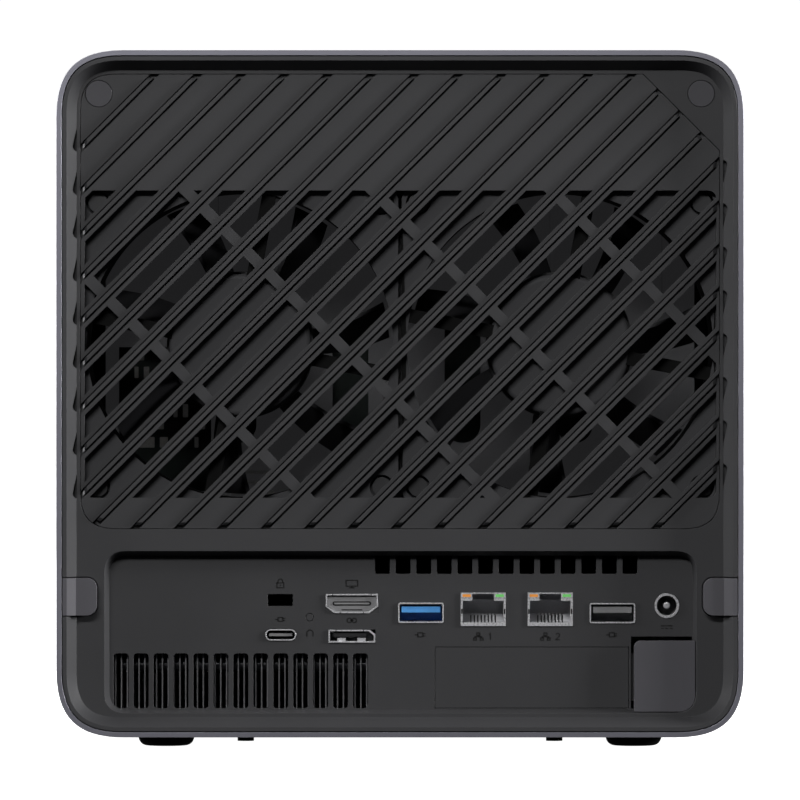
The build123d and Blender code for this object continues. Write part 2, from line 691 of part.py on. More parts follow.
VIDEO_DEPTH = 11.0
with BuildPart() as video_socket_shell:
    with BuildSketch(rear_plane(PORT_FACE_Y - VIDEO_DEPTH)):
        add(video_outline(VIDEO_AT, 0))
        add(video_outline(VIDEO_AT, SHELL_SHEET), mode=Mode.SUBTRACT)
    extrude(amount=VIDEO_DEPTH)
video_socket_shell.part.label = "video_socket_shell"
export_step(video_socket_shell.part, "parts/video_socket_shell.step")

with BuildPart() as video_socket_core:
    with BuildSketch(rear_plane(PORT_FACE_Y - VIDEO_DEPTH)):
        add(video_outline(VIDEO_AT, SHELL_SHEET))
    extrude(amount=3)
    with BuildSketch(rear_plane(PORT_FACE_Y - VIDEO_DEPTH + 3)):
        add(rectangle_at(VIDEO_AT, 10.9, 0.95))
    extrude(amount=VIDEO_DEPTH - 4)
video_socket_core.part.label = "video_socket_core"
export_step(video_socket_core.part, "parts/video_socket_core.step")

LINK_DEPTH = 8.0
with BuildPart() as link_socket_shell:
    with BuildSketch(rear_plane(PORT_FACE_Y - LINK_DEPTH)):
        add(link_outline(LINK_AT, 0))
        add(link_outline(LINK_AT, SHELL_SHEET), mode=Mode.SUBTRACT)
    extrude(amount=LINK_DEPTH)
    # Two springy tabs are pressed up from the floor of the shell.
    with BuildSketch(rear_plane(PORT_FACE_Y - 4)):
        for shift in (-3.0, 2.8):
            add(rectangle_at(LINK_AT, 2.4, 0.9, (shift, 0.85 - LINK_SIZE[1] / 2)))
    extrude(amount=3)
link_socket_shell.part.label = "link_socket_shell"
export_step(link_socket_shell.part, "parts/link_socket_shell.step")

with BuildPart() as link_socket_core:
    with BuildSketch(rear_plane(PORT_FACE_Y - LINK_DEPTH)):
        add(link_outline(LINK_AT, SHELL_SHEET))
    extrude(amount=2)
    with BuildSketch(rear_plane(PORT_FACE_Y - LINK_DEPTH + 2)):
        add(rectangle_at(LINK_AT, 9.6, 1.1, (-0.6, 0.35)))
    extrude(amount=LINK_DEPTH - 3)
link_socket_core.part.label = "link_socket_core"
export_step(link_socket_core.part, "parts/link_socket_core.step")

# Network sockets: a metal box, a plastic floor with the contact comb, and two lamps at the top.
LAN_DEPTH = 18.0
LAN_SHEET = 0.6
LAN_FLOOR = 1.0
LAMP_SIZE = (2.4, 0.8)
LAMP_LENGTH = 3.0
with BuildPart() as lan_sockets:
    for centre in LAN_AT:
        with BuildSketch(rear_plane(PORT_FACE_Y - LAN_DEPTH)):
            add(rectangle_at(centre, *LAN_SIZE))
        extrude(amount=LAN_DEPTH)
        with BuildSketch(rear_plane(PORT_FACE_Y - LAN_DEPTH + 1)):
            mouth = LAN_SIZE[1] - LAN_FLOOR - LAN_LAMP_BLOCK[1]
            mouth_shift = (0, (LAN_FLOOR - LAN_LAMP_BLOCK[1]) / 2)
            add(rectangle_at(centre, LAN_SIZE[0] - 2 * LAN_SHEET, mouth, mouth_shift))
            notch = LAN_SIZE[0] - 2 * LAN_LAMP_BLOCK[0]
            notch_shift = (0, (LAN_SIZE[1] - LAN_LAMP_BLOCK[1]) / 2 - 0.3)
            add(rectangle_at(centre, notch, LAN_LAMP_BLOCK[1], notch_shift))
        extrude(amount=LAN_DEPTH, mode=Mode.SUBTRACT)
        with BuildSketch(rear_plane(PORT_FACE_Y - LAMP_LENGTH)):
            for side in (-1, 1):
                shift = (side * (LAN_SIZE[0] / 2 - 1.75), LAN_SIZE[1] / 2 - 0.85)
                add(rectangle_at(centre, *LAMP_SIZE, shift))
        extrude(amount=LAMP_LENGTH, mode=Mode.SUBTRACT)
        # The box stands on the board.
        with BuildSketch(rear_plane(PORT_FACE_Y - LAN_DEPTH)):
            leg = centre[1] - LAN_SIZE[1] / 2 - BOARD_TOP
            add(rectangle_at(centre, LAN_SIZE[0], leg, (0, -LAN_SIZE[1] / 2 - leg / 2)))
        extrude(amount=LAN_DEPTH - 4)
lan_sockets.part.label = "lan_sockets"
export_step(lan_sockets.part, "parts/lan_sockets.step")

COMB_PITCH = 1.02
COMB_TALL = 2.3
with BuildPart() as lan_cores:
    for centre in LAN_AT:
        floor = LAN_FLOOR - LAN_SIZE[1] / 2
        mouth = LAN_SIZE[1] - LAN_FLOOR - LAN_LAMP_BLOCK[1]
        with BuildSketch(rear_plane(PORT_FACE_Y - LAN_DEPTH + 1)):
            add(rectangle_at(centre, LAN_SIZE[0] - 2 * LAN_SHEET, mouth, (0, floor + mouth / 2)))
        extrude(amount=2)
        with BuildSketch(rear_plane(PORT_FACE_Y - LAN_DEPTH + 3)):
            add(rectangle_at(centre, LAN_SIZE[0] - 2 * LAN_SHEET, COMB_TALL, (0, floor + COMB_TALL / 2)))
            for number in range(8):
                shift = ((number - 3.5) * COMB_PITCH, floor + COMB_TALL / 2 + 0.3)
                add(rectangle_at(centre, 0.5, COMB_TALL, shift), mode=Mode.SUBTRACT)
        extrude(amount=4)
lan_cores.part.label = "lan_cores"
export_step(lan_cores.part, "parts/lan_cores.step")

for side, name in ((-1, "lan_lamps_amber"), (1, "lan_lamps_green")):
    with BuildPart() as lan_lamps:
        with BuildSketch(rear_plane(PORT_FACE_Y - LAMP_LENGTH)):
            for centre in LAN_AT:
                shift = (side * (LAN_SIZE[0] / 2 - 1.75), LAN_SIZE[1] / 2 - 0.85)
                add(rectangle_at(centre, *LAMP_SIZE, shift))
        extrude(amount=LAMP_LENGTH)
    lan_lamps.part.label = name
    export_step(lan_lamps.part, f"parts/{name}.step")

DC_DEPTH = 11.0
DC_WALL = 0.7
with BuildPart() as dc_jack:
    with BuildSketch(rear_plane(PORT_FACE_Y - DC_DEPTH)):
        with Locations(DC_AT):
            Circle(DC_RADIUS)
    extrude(amount=DC_DEPTH)
    with BuildSketch(rear_plane(PORT_FACE_Y - DC_DEPTH + 2)):
        with Locations(DC_AT):
            Circle(DC_RADIUS - DC_WALL)
    extrude(amount=DC_DEPTH, mode=Mode.SUBTRACT)
    with BuildSketch(rear_plane(PORT_FACE_Y - DC_DEPTH)):
        add(rectangle_at(DC_AT, 5, DC_AT[1] - BOARD_TOP - 3, (0, (BOARD_TOP - DC_AT[1] - 3) / 2)))
    extrude(amount=6)
    with BuildSketch(rear_plane(PORT_FACE_Y - DC_DEPTH)):
        with Locations(DC_AT):
            Circle(1.1)
    extrude(amount=2, mode=Mode.SUBTRACT)
dc_jack.part.label = "dc_jack"
export_step(dc_jack.part, "parts/dc_jack.step")

with BuildPart() as dc_jack_pin:
    with BuildSketch(rear_plane(PORT_FACE_Y - DC_DEPTH)):
        with Locations(DC_AT):
            Circle(1.05)
    extrude(amount=DC_DEPTH - 1.5)
    fillet(dc_jack_pin.edges().group_by(Axis.Y)[-1], 0.5)
dc_jack_pin.part.label = "dc_jack_pin"
export_step(dc_jack_pin.part, "parts/dc_jack_pin.step")

with BuildPart() as reset_button:
    with BuildSketch(rear_plane(POCKET_FLOOR_Y - 3)):
        with Locations(RESET_AT):
            Circle(1.05)
    extrude(amount=3)
    with BuildSketch(rear_plane(POCKET_FLOOR_Y - 4)):
        with Locations(RESET_AT):
            Circle(1.8)
    extrude(amount=1.5)
reset_button.part.label = "reset_button"
export_step(reset_button.part, "parts/reset_button.step")


def last_rim(builder, radius):
    """The round edges of one radius that lie furthest to the rear."""
    rims = builder.edges().filter_by(GeomType.CIRCLE)
    return rims.filter_by(lambda edge: abs(edge.radius - radius) < 0.01).group_by(Axis.Y)[-1]


# ---- fans ------------------------------------------------------------------------------------
for side, name in ((-1, "left"), (1, "right")):
    centre = (side * FAN_PITCH / 2, FAN_Z)
    with BuildPart() as fan_frame:
        with BuildSketch(rear_plane(FAN_FRONT_Y)):
            with Locations(centre):
                RectangleRounded(FAN_SIZE, FAN_SIZE, 4)
                Circle(DUCT_RADIUS, mode=Mode.SUBTRACT)
                with GridLocations(FAN_HOLE_SPACING, FAN_HOLE_SPACING, 2, 2):
                    Circle(FAN_HOLE_RADIUS, mode=Mode.SUBTRACT)
        extrude(amount=FAN_DEPTH)
        with BuildSketch(rear_plane(FAN_FRONT_Y + FAN_FLANGE)):
            with Locations(centre):
                Rectangle(FAN_SIZE + 1, FAN_SIZE + 1)
                Circle(DUCT_OUTER, mode=Mode.SUBTRACT)
        extrude(amount=FAN_DEPTH - 2 * FAN_FLANGE, mode=Mode.SUBTRACT)
        with BuildSketch(rear_plane(FAN_REAR_Y - FAN_COUNTERBORE_DEPTH)):
            with Locations(centre):
                with GridLocations(FAN_HOLE_SPACING, FAN_HOLE_SPACING, 2, 2):
                    Circle(FAN_COUNTERBORE)
        extrude(amount=FAN_COUNTERBORE_DEPTH, mode=Mode.SUBTRACT)
        # The motor plate is carried by four struts on the side by the grille.
        with BuildSketch(rear_plane(STRUT_BACK_Y)):
            with Locations(centre):
                Circle(MOTOR_RADIUS)
        extrude(amount=FAN_REAR_Y - STRUT_BACK_Y)
        fillet(last_rim(fan_frame, MOTOR_RADIUS), MOTOR_ROUND)
        with BuildSketch(rear_plane(STRUT_BACK_Y)):
            with Locations(centre):
                with PolarLocations(0, 4, STRUT_FIRST):
                    with Locations((STRUT_REACH, 0)):
                        Rectangle(STRUT_LENGTH, STRUT_WIDTH)
        extrude(amount=STRUT_DEPTH)
    fan_frame.part.label = f"fan_frame_{name}"
    export_step(fan_frame.part, f"parts/fan_frame_{name}.step")

    with BuildPart() as fan_rotor:
        for number in range(BLADE_COUNT):
            turn = math.radians(BLADE_FIRST + number * 360 / BLADE_COUNT)
            for radius, chord, pitch, swing in BLADE_STATIONS:
                angle = turn + math.radians(swing)
                outward = Vector(-math.cos(angle), 0, math.sin(angle))
                along = Vector(math.sin(angle), 0, math.cos(angle))
                lean = math.radians(pitch)
                across = along * math.cos(lean) + Vector(0, 1, 0) * math.sin(lean)
                hub = Vector(-centre[0], BLADE_MIDDLE_Y, centre[1])
                with BuildSketch(Plane(origin=hub + outward * radius, x_dir=across, z_dir=outward)):
                    Rectangle(chord, BLADE_THICK)
            loft()
        with BuildSketch(rear_plane(ROTOR_Y[0] - 5)):
            with Locations(centre):
                Circle(BLADE_TIP)
        extrude(amount=40, mode=Mode.INTERSECT)
        with BuildSketch(rear_plane(ROTOR_Y[0])):
            with Locations(centre):
                Circle(HUB_RADIUS)
        extrude(amount=ROTOR_Y[1] - ROTOR_Y[0])
    fan_rotor.part.label = f"fan_rotor_{name}"
    export_step(fan_rotor.part, f"parts/fan_rotor_{name}.step")

with BuildPart() as fan_pins:
    for side in (-1, 1):
        for reach, start, length in (
            (PIN_RADIUS, FAN_FRONT_Y + 0.3, FAN_DEPTH - FAN_COUNTERBORE_DEPTH - 0.2),
            (PIN_HEAD, FAN_REAR_Y - FAN_COUNTERBORE_DEPTH + 0.1, FAN_COUNTERBORE_DEPTH - 0.2),
        ):
            with BuildSketch(rear_plane(start)):
                with Locations((side * FAN_PITCH / 2, FAN_Z)):
                    with GridLocations(FAN_HOLE_SPACING, FAN_HOLE_SPACING, 2, 2):
                        Circle(reach)
            extrude(amount=length)
fan_pins.part.label = "fan_pins"
export_step(fan_pins.part, "parts/fan_pins.step")

BRACKET_SHEET = 1.2
BRACKET_BOX = (-94.0, 94.0, 64.4, 182.0)
BRACKET_Y = (CAGE_Y[1] + 0.5, FAN_FRONT_Y)
with BuildPart() as fan_bracket:
    with BuildSketch(rear_plane(BRACKET_Y[0])):
        add(box_sketch(*BRACKET_BOX))
    extrude(amount=BRACKET_Y[1] - BRACKET_Y[0])
    with BuildSketch(rear_plane(BRACKET_Y[0])):
        left, right, low, high = BRACKET_BOX
        add(
            box_sketch(
                left + BRACKET_SHEET,
                right - BRACKET_SHEET,
                low + BRACKET_SHEET,
                high - BRACKET_SHEET,
            )
        )
    extrude(amount=BRACKET_Y[1] - BRACKET_Y[0] - BRACKET_SHEET, mode=Mode.SUBTRACT)
    with BuildSketch(rear_plane(FAN_FRONT_Y - BRACKET_SHEET)):
        with Locations((-FAN_PITCH / 2, FAN_Z), (FAN_PITCH / 2, FAN_Z)):
            Circle(DUCT_RADIUS)
            with GridLocations(FAN_HOLE_SPACING, FAN_HOLE_SPACING, 2, 2):
                Circle(FAN_HOLE_RADIUS)
    extrude(amount=BRACKET_SHEET, mode=Mode.SUBTRACT)
fan_bracket.part.label = "fan_bracket"
export_step(fan_bracket.part, "parts/fan_bracket.step")

# ---- drive bays ------------------------------------------------------------------------------
with BuildPart() as drive_cage:
    with BuildSketch(rear_plane(CAGE_Y[0])):
        add(box_sketch(-CAGE_HALF, CAGE_HALF, *CAGE_Z))
    extrude(amount=CAGE_Y[1] - CAGE_Y[0])
    with BuildSketch(rear_plane(CAGE_Y[0])):
        inner_half = CAGE_HALF - CAGE_WALL
        add(box_sketch(-inner_half, inner_half, CAGE_Z[0] + CAGE_WALL, CAGE_Z[1] - CAGE_WALL))
    extrude(amount=CAGE_Y[1] - CAGE_Y[0] - CAGE_WALL, mode=Mode.SUBTRACT)
    # Rear wall: a tall oblong vent behind each gap, and a window onto the backplane's chips.
    with BuildSketch(rear_plane(CAGE_Y[1] - CAGE_WALL)):
        for across in SLOT_ACROSS:
            with Locations((across, SLOT_Z)):
                SlotOverall(*SLOT_SIZE, rotation=90)
        add(box_sketch(-84, -56.5, 74, 117))
    extrude(amount=CAGE_WALL, mode=Mode.SUBTRACT)
    with BuildSketch(rear_plane(CAGE_Y[1])):
        for across in (*SLOT_ACROSS, SLOT_ACROSS[-1] + 33.5):
            add(box_sketch(across - RIB_FROM_SLOT - 0.7, across - RIB_FROM_SLOT + 0.7, 130, CAGE_Z[1]))
    extrude(amount=2)
drive_cage.part.label = "drive_cage"
export_step(drive_cage.part, "parts/drive_cage.step")

# Plastic guides on the floor and ceiling of the cage keep the trays apart.
GUIDE_TALL = 3.0
with BuildPart() as tray_guides:
    with BuildSketch(rear_plane(CAGE_Y[0] + 1)):
        for number in range(BAY_COUNT - 1):
            guide = (number + 1 - BAY_COUNT / 2) * BAY_PITCH
            for level in (CAGE_Z[0] + CAGE_WALL, CAGE_Z[1] - CAGE_WALL - GUIDE_TALL):
                add(box_sketch(guide - 0.5, guide + 0.5, level, level + GUIDE_TALL))
    extrude(amount=BACKPLANE_Y - 2 - CAGE_Y[0] - 1)
tray_guides.part.label = "tray_guides"
export_step(tray_guides.part, "parts/tray_guides.step")

with BuildPart() as backplane_board:
    with BuildSketch(rear_plane(BACKPLANE_Y)):
        add(box_sketch(-85, 85, 69, 175.5))
        with Locations(*((across, 150) for across in SLOT_ACROSS)):
            SlotOverall(34, 9, rotation=90, mode=Mode.SUBTRACT)
    extrude(amount=BOARD_THICK)
backplane_board.part.label = "backplane_board"
export_step(backplane_board.part, "parts/backplane_board.step")

with BuildPart() as backplane_sockets:
    with BuildSketch(front_plane(BACKPLANE_Y)):
        for number in range(BAY_COUNT):
            middle = (number - (BAY_COUNT - 1) / 2) * BAY_PITCH
            add(box_sketch(middle - 10, middle - 2, 76, 122))
    extrude(amount=13)
    with BuildSketch(front_plane(BACKPLANE_Y - 5)):
        for number in range(BAY_COUNT):
            middle = (number - (BAY_COUNT - 1) / 2) * BAY_PITCH
            add(box_sketch(middle - 9, middle - 3, 77, 98))
            add(box_sketch(middle - 9, middle - 3, 100, 121))
    extrude(amount=8, mode=Mode.SUBTRACT)
backplane_sockets.part.label = "backplane_sockets"
export_step(backplane_sockets.part, "parts/backplane_sockets.step")

for number in range(BAY_COUNT):
    middle = (number - (BAY_COUNT - 1) / 2) * BAY_PITCH
    with BuildPart() as tray:
        with BuildSketch(front_plane(TRAY_BACK_Y)):
            add(box_sketch(middle - TRAY_HALF, middle + TRAY_HALF, *TRAY_Z))
            add(
                box_sketch(
                    middle - TRAY_HALF + TRAY_SHEET,
                    middle + TRAY_HALF,
                    TRAY_Z[0] + TRAY_RAIL,
                    TRAY_Z[1] - TRAY_RAIL,
                ),
                mode=Mode.SUBTRACT,
            )
        extrude(amount=TRAY_BACK_Y - TRAY_FACE_Y)
        with BuildSketch(front_plane(TRAY_FACE_Y + TRAY_FACE_THICK)):
            add(box_sketch(middle - TRAY_FACE_HALF, middle + TRAY_FACE_HALF, *TRAY_Z))
            with Locations((middle, 126)):
                with GridLocations(5.2, 21, 5, 4):
                    SlotOverall(17, 2.4, rotation=90, mode=Mode.SUBTRACT)
        extrude(amount=TRAY_FACE_THICK)
        # Two ears carry the lever's pins.
        with BuildSketch(front_plane(TRAY_FACE_Y)):
            for side in (-1, 1):
                add(
                    box_sketch(
                        *sorted((middle + side * EAR_ACROSS[0], middle + side * EAR_ACROSS[1])),
                        PIVOT_Z - 4.5,
                        PIVOT_Z + 4.5,
                    )
                )
        extrude(amount=TRAY_FACE_Y - LEVER_Y[0])
        with BuildSketch(Plane.YZ.offset(middle - EAR_ACROSS[1] - 1)):
            with Locations((sum(LEVER_Y) / 2, PIVOT_Z)):
                Circle(PIVOT_HOLE)
        extrude(amount=2 * EAR_ACROSS[1] + 2, mode=Mode.SUBTRACT)
    tray.part.label = f"tray_{number + 1}"
    export_step(tray.part, f"parts/tray_{number + 1}.step")

    with BuildPart() as tray_lever:
        with BuildSketch(Plane.YZ.offset(middle - LEVER_HALF)):
            lever_middle = sum(LEVER_Y) / 2
            lever_round = (LEVER_Y[1] - LEVER_Y[0]) / 2
            with Locations((lever_middle, PIVOT_Z)):
                Circle(lever_round)
            add(box_sketch(*LEVER_Y, LEVER_LOW, PIVOT_Z))
        extrude(amount=2 * LEVER_HALF)
        with BuildSketch(front_plane(LEVER_Y[1])):
            with Locations((middle, 126)):
                with GridLocations(5.2, 21, 5, 3):
                    SlotOverall(17, 2.4, rotation=90)
            add(box_sketch(middle - 8, middle + 8, LEVER_LOW - 1, LEVER_LOW + 5))
        extrude(amount=LEVER_Y[1] - LEVER_Y[0], mode=Mode.SUBTRACT)
        with BuildSketch(Plane.YZ.offset(middle - EAR_ACROSS[1] + 0.5)):
            with Locations((lever_middle, PIVOT_Z)):
                Circle(PIVOT_PIN)
        extrude(amount=2 * EAR_ACROSS[1] - 1)
    tray_lever.part.label = f"tray_lever_{number + 1}"
    export_step(tray_lever.part, f"parts/tray_lever_{number + 1}.step")

# ---- front frame -----------------------------------------------------------------------------
BAY_OPENING = (-84.2, 84.2, 65.8, 178.8)
with BuildPart() as front_bezel:
    with BuildSketch(front_plane(-SKIRT_Y)):
        add(case_outline(BEZEL_INSET))
    extrude(amount=SKIRT_DEPTH)
    with BuildSketch(front_plane(-REAR_Y)):
        add(case_outline(RIM_INSET))
    with BuildSketch(front_plane(-PANEL_Y)):
        add(case_outline(PANEL_INSET))
    loft(ruled=True, mode=Mode.SUBTRACT)
    with BuildSketch(front_plane(-SKIRT_Y)):
        add(case_outline(HOLLOW_INSET))
    extrude(amount=PANEL_Y - PANEL_THICK - SKIRT_Y, mode=Mode.SUBTRACT)
    with BuildSketch(front_plane(PANEL_THICK - PANEL_Y)):
        add(box_sketch(*BAY_OPENING))
        with Locations(POWER_AT):
            Circle(POWER_RADIUS + 0.3)
        add(rectangle_at(FRONT_USB_A_AT, USB_A_SIZE[0] + 0.3, USB_A_SIZE[1] + 0.3, rounding=0.8))
        with Locations(FRONT_USB_C_AT):
            SlotOverall(USB_C_SIZE[0] + 0.3, USB_C_SIZE[1] + 0.3)
        for number in range(BAY_COUNT):
            with Locations(((number - (BAY_COUNT - 1) / 2) * BAY_PITCH, LIGHT_Z)):
                Circle(LIGHT_RADIUS + 0.05)
    extrude(amount=PANEL_THICK, mode=Mode.SUBTRACT)
front_bezel.part.label = "front_bezel"
export_step(front_bezel.part, "parts/front_bezel.step")

with BuildPart() as status_lights:
    with BuildSketch(front_plane(PANEL_THICK - PANEL_Y)):
        for number in range(BAY_COUNT):
            with Locations(((number - (BAY_COUNT - 1) / 2) * BAY_PITCH, LIGHT_Z)):
                Circle(LIGHT_RADIUS)
    extrude(amount=PANEL_THICK + 0.2)
status_lights.part.label = "status_lights"
export_step(status_lights.part, "parts/status_lights.step")

with BuildPart() as power_button:
    with BuildSketch(front_plane(PANEL_THICK - PANEL_Y + 1)):
        with Locations(POWER_AT):
            Circle(POWER_RADIUS)
    extrude(amount=PANEL_THICK + 1.8)
    fillet(power_button.edges().group_by(Axis.Y)[0], 0.6)
    with BuildSketch(front_plane(PANEL_THICK - PANEL_Y + 1.5)):
        with Locations(POWER_AT):
            Circle(POWER_RADIUS + 1.2)
    extrude(amount=1.2)
power_button.part.label = "power_button"
export_step(power_button.part, "parts/power_button.step")

# ---- electronics -----------------------------------------------------------------------------
with BuildPart() as lower_frame:
    with BuildSketch(rear_plane(-FRAME_Y)):
        add(box_sketch(-FRAME_HALF, FRAME_HALF, *FRAME_Z))
        add(
            box_sketch(
                FRAME_WALL - FRAME_HALF,
                FRAME_HALF - FRAME_WALL,
                FRAME_Z[0] + FRAME_WALL,
                FRAME_Z[1] + 1,
            ),
            mode=Mode.SUBTRACT,
        )
    extrude(amount=2 * FRAME_Y)
    # Air comes in through slots under the blower.
    with BuildSketch(Plane.XY.offset(FRAME_Z[0])):
        with Locations(BLOWER_AT):
            with GridLocations(5, 1, 9, 1):
                SlotOverall(36, 2.6, rotation=90)
    extrude(amount=FRAME_WALL, mode=Mode.SUBTRACT)
lower_frame.part.label = "lower_frame"
export_step(lower_frame.part, "parts/lower_frame.step")

STANDOFF_PLACES = ((-79, -74), (79, -74), (-79, 10), (79, 10), (-79, 88), (79, 88))
with BuildPart() as motherboard:
    with BuildSketch(Plane.XY.offset(BOARD_Z)):
        add(box_sketch(-BOARD_HALF, BOARD_HALF, *BOARD_Y))
    extrude(amount=BOARD_THICK)
    # Processor package and the two memory sockets on the underside.
    with BuildSketch(Plane.XY.offset(BOARD_Z - 0.9)):
        add(box_sketch(20, 50, 12, 38))
    extrude(amount=0.9)
    with BuildSketch(Plane.XY.offset(BOARD_Z - 9)):
        add(box_sketch(-76, -4, -44, -38))
    extrude(amount=9)
    # Small front board that carries the front sockets.
    with BuildSketch(Plane.XY.offset(FRONT_BOARD_TOP - BOARD_THICK)):
        add(box_sketch(-78, 50, -117, -100))
    extrude(amount=BOARD_THICK)
motherboard.part.label = "motherboard"
export_step(motherboard.part, "parts/motherboard.step")

with BuildPart() as board_standoffs:
    with BuildSketch(Plane.XY.offset(FRAME_Z[0] + FRAME_WALL)):
        with Locations(*STANDOFF_PLACES):
            RegularPolygon(2.6, 6)
    extrude(amount=BOARD_Z - FRAME_Z[0] - FRAME_WALL)
board_standoffs.part.label = "board_standoffs"
export_step(board_standoffs.part, "parts/board_standoffs.step")

with BuildPart() as memory_modules:
    for level in (21.6, 25.6):
        with BuildSketch(Plane.XY.offset(level)):
            add(box_sketch(-74.5, -5, -76, -44))
        extrude(amount=1.2)
        with BuildSketch(Plane.XY.offset(level - 1)):
            with Locations((-39.75, -62)):
                with GridLocations(16, 1, 4, 1):
                    Rectangle(12, 9)
        extrude(amount=1)
memory_modules.part.label = "memory_modules"
export_step(memory_modules.part, "parts/memory_modules.step")

with BuildPart() as ssd_modules:
    for left in (12, 40):
        with BuildSketch(Plane.XY.offset(25)):
            add(box_sketch(left, left + 22, -77, 3))
        extrude(amount=0.8)
        with BuildSketch(Plane.XY.offset(23.6)):
            with Locations((left + 11, -52), (left + 11, -30), (left + 11, -11)):
                Rectangle(14, 13)
        extrude(amount=1.4)
        with BuildSketch(Plane.XY.offset(25.8)):
            add(box_sketch(left, left + 22, -1, 3))
        extrude(amount=BOARD_Z - 25.8)
ssd_modules.part.label = "ssd_modules"
export_step(ssd_modules.part, "parts/ssd_modules.step")

PIPE_RUNS = ((103.0, 2.0, 33.0), (108.6, -3.5, 18.0))
with BuildPart() as cooler_base:
    with BuildSketch(Plane.XY.offset(PIPE_Z + PIPE_RADIUS)):
        add(box_sketch(12, 60, 11, 39))
    extrude(amount=BOARD_Z - 0.9 - PIPE_Z - PIPE_RADIUS)
cooler_base.part.label = "cooler_base"
export_step(cooler_base.part, "parts/cooler_base.step")

with BuildPart() as heat_pipes:
    for fin_y, turn_x, base_y in PIPE_RUNS:
        with BuildLine():
            FilletPolyline(
                (FIN_X[1] - 2, fin_y, PIPE_Z),
                (turn_x, fin_y, PIPE_Z),
                (turn_x, base_y, PIPE_Z),
                (58, base_y, PIPE_Z),
                radius=7,
            )
        with BuildSketch(Plane(origin=(FIN_X[1] - 2, fin_y, PIPE_Z), z_dir=(-1, 0, 0))):
            Circle(PIPE_RADIUS)
        sweep()
heat_pipes.part.label = "heat_pipes"
export_step(heat_pipes.part, "parts/heat_pipes.step")

with BuildPart() as heatsink_fins:
    with BuildSketch(Plane.XY.offset(FIN_Z[0])):
        fin_count = int((FIN_X[1] - FIN_X[0]) / FIN_PITCH)
        for number in range(fin_count + 1):
            left = FIN_X[0] + number * FIN_PITCH
            add(box_sketch(left, left + FIN_THICK, *FIN_Y))
    extrude(amount=FIN_Z[1] - FIN_Z[0])
    with BuildSketch(Plane.XY.offset(FIN_Z[1] - 0.6)):
        add(box_sketch(FIN_X[0], FIN_X[1], *FIN_Y))
    extrude(amount=0.6)
    for fin_y, turn_x, base_y in PIPE_RUNS:
        with BuildSketch(Plane.YZ.offset(FIN_X[0] - 1)):
            with Locations((fin_y, PIPE_Z)):
                Circle(PIPE_RADIUS + 0.02)
        extrude(amount=FIN_X[1] - FIN_X[0] + 2, mode=Mode.SUBTRACT)
heatsink_fins.part.label = "heatsink_fins"
export_step(heatsink_fins.part, "parts/heatsink_fins.step")

with BuildPart() as blower_housing:
    with BuildSketch(Plane.XY.offset(BLOWER_Z[0])) as scroll:
        add(box_sketch(*BLOWER_BOX))
        fillet(scroll.vertices().group_by(Axis.Y)[0], 20)
    extrude(amount=BLOWER_Z[1] - BLOWER_Z[0])
    with BuildSketch(Plane.XY.offset(BLOWER_Z[0] + 1)) as hollow:
        add(box_sketch(BLOWER_BOX[0] + 1, BLOWER_BOX[1] - 1, BLOWER_BOX[2] + 1, BLOWER_BOX[3] + 1))
        fillet(hollow.vertices().group_by(Axis.Y)[0], 19)
    extrude(amount=BLOWER_Z[1] - BLOWER_Z[0] - 2, mode=Mode.SUBTRACT)
    with BuildSketch(Plane.XY.offset(BLOWER_Z[0])):
        with Locations(BLOWER_AT):
            Circle(18)
    extrude(amount=1, mode=Mode.SUBTRACT)
blower_housing.part.label = "blower_housing"
export_step(blower_housing.part, "parts/blower_housing.step")

BLOWER_BLADES = 28
with BuildPart() as blower_rotor:
    with BuildSketch(Plane.XY.offset(BLOWER_Z[1] - 2.6)):
        with Locations(BLOWER_AT):
            Circle(BLOWER_RADIUS)
    extrude(amount=1.2)
    with BuildSketch(Plane.XY.offset(BLOWER_Z[0] + 2)):
        with Locations(BLOWER_AT):
            Circle(10)
            with PolarLocations(BLOWER_RADIUS - 3, BLOWER_BLADES):
                Rectangle(5.5, 0.7, rotation=35)
    extrude(amount=BLOWER_Z[1] - BLOWER_Z[0] - 4.5)
blower_rotor.part.label = "blower_rotor"
export_step(blower_rotor.part, "parts/blower_rotor.step")
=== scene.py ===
import math

import bmesh
import bpy
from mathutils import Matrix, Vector


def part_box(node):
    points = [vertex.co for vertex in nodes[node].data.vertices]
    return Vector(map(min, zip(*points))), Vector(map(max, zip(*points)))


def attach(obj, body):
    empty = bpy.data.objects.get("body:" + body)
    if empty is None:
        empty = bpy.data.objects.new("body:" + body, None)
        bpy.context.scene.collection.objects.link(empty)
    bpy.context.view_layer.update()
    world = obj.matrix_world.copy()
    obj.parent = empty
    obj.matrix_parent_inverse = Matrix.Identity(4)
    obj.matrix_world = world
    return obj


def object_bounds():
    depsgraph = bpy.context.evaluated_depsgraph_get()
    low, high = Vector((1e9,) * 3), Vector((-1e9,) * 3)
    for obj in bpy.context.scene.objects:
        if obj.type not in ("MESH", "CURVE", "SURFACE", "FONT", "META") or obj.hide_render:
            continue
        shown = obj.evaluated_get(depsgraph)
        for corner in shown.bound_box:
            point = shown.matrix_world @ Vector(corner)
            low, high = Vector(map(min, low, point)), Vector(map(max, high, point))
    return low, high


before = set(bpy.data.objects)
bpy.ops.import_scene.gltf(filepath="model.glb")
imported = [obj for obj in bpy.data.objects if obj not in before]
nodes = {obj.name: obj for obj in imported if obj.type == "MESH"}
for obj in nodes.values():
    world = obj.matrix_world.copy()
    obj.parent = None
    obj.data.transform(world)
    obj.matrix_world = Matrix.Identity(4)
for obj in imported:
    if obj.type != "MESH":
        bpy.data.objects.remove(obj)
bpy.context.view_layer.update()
MM = 0.001


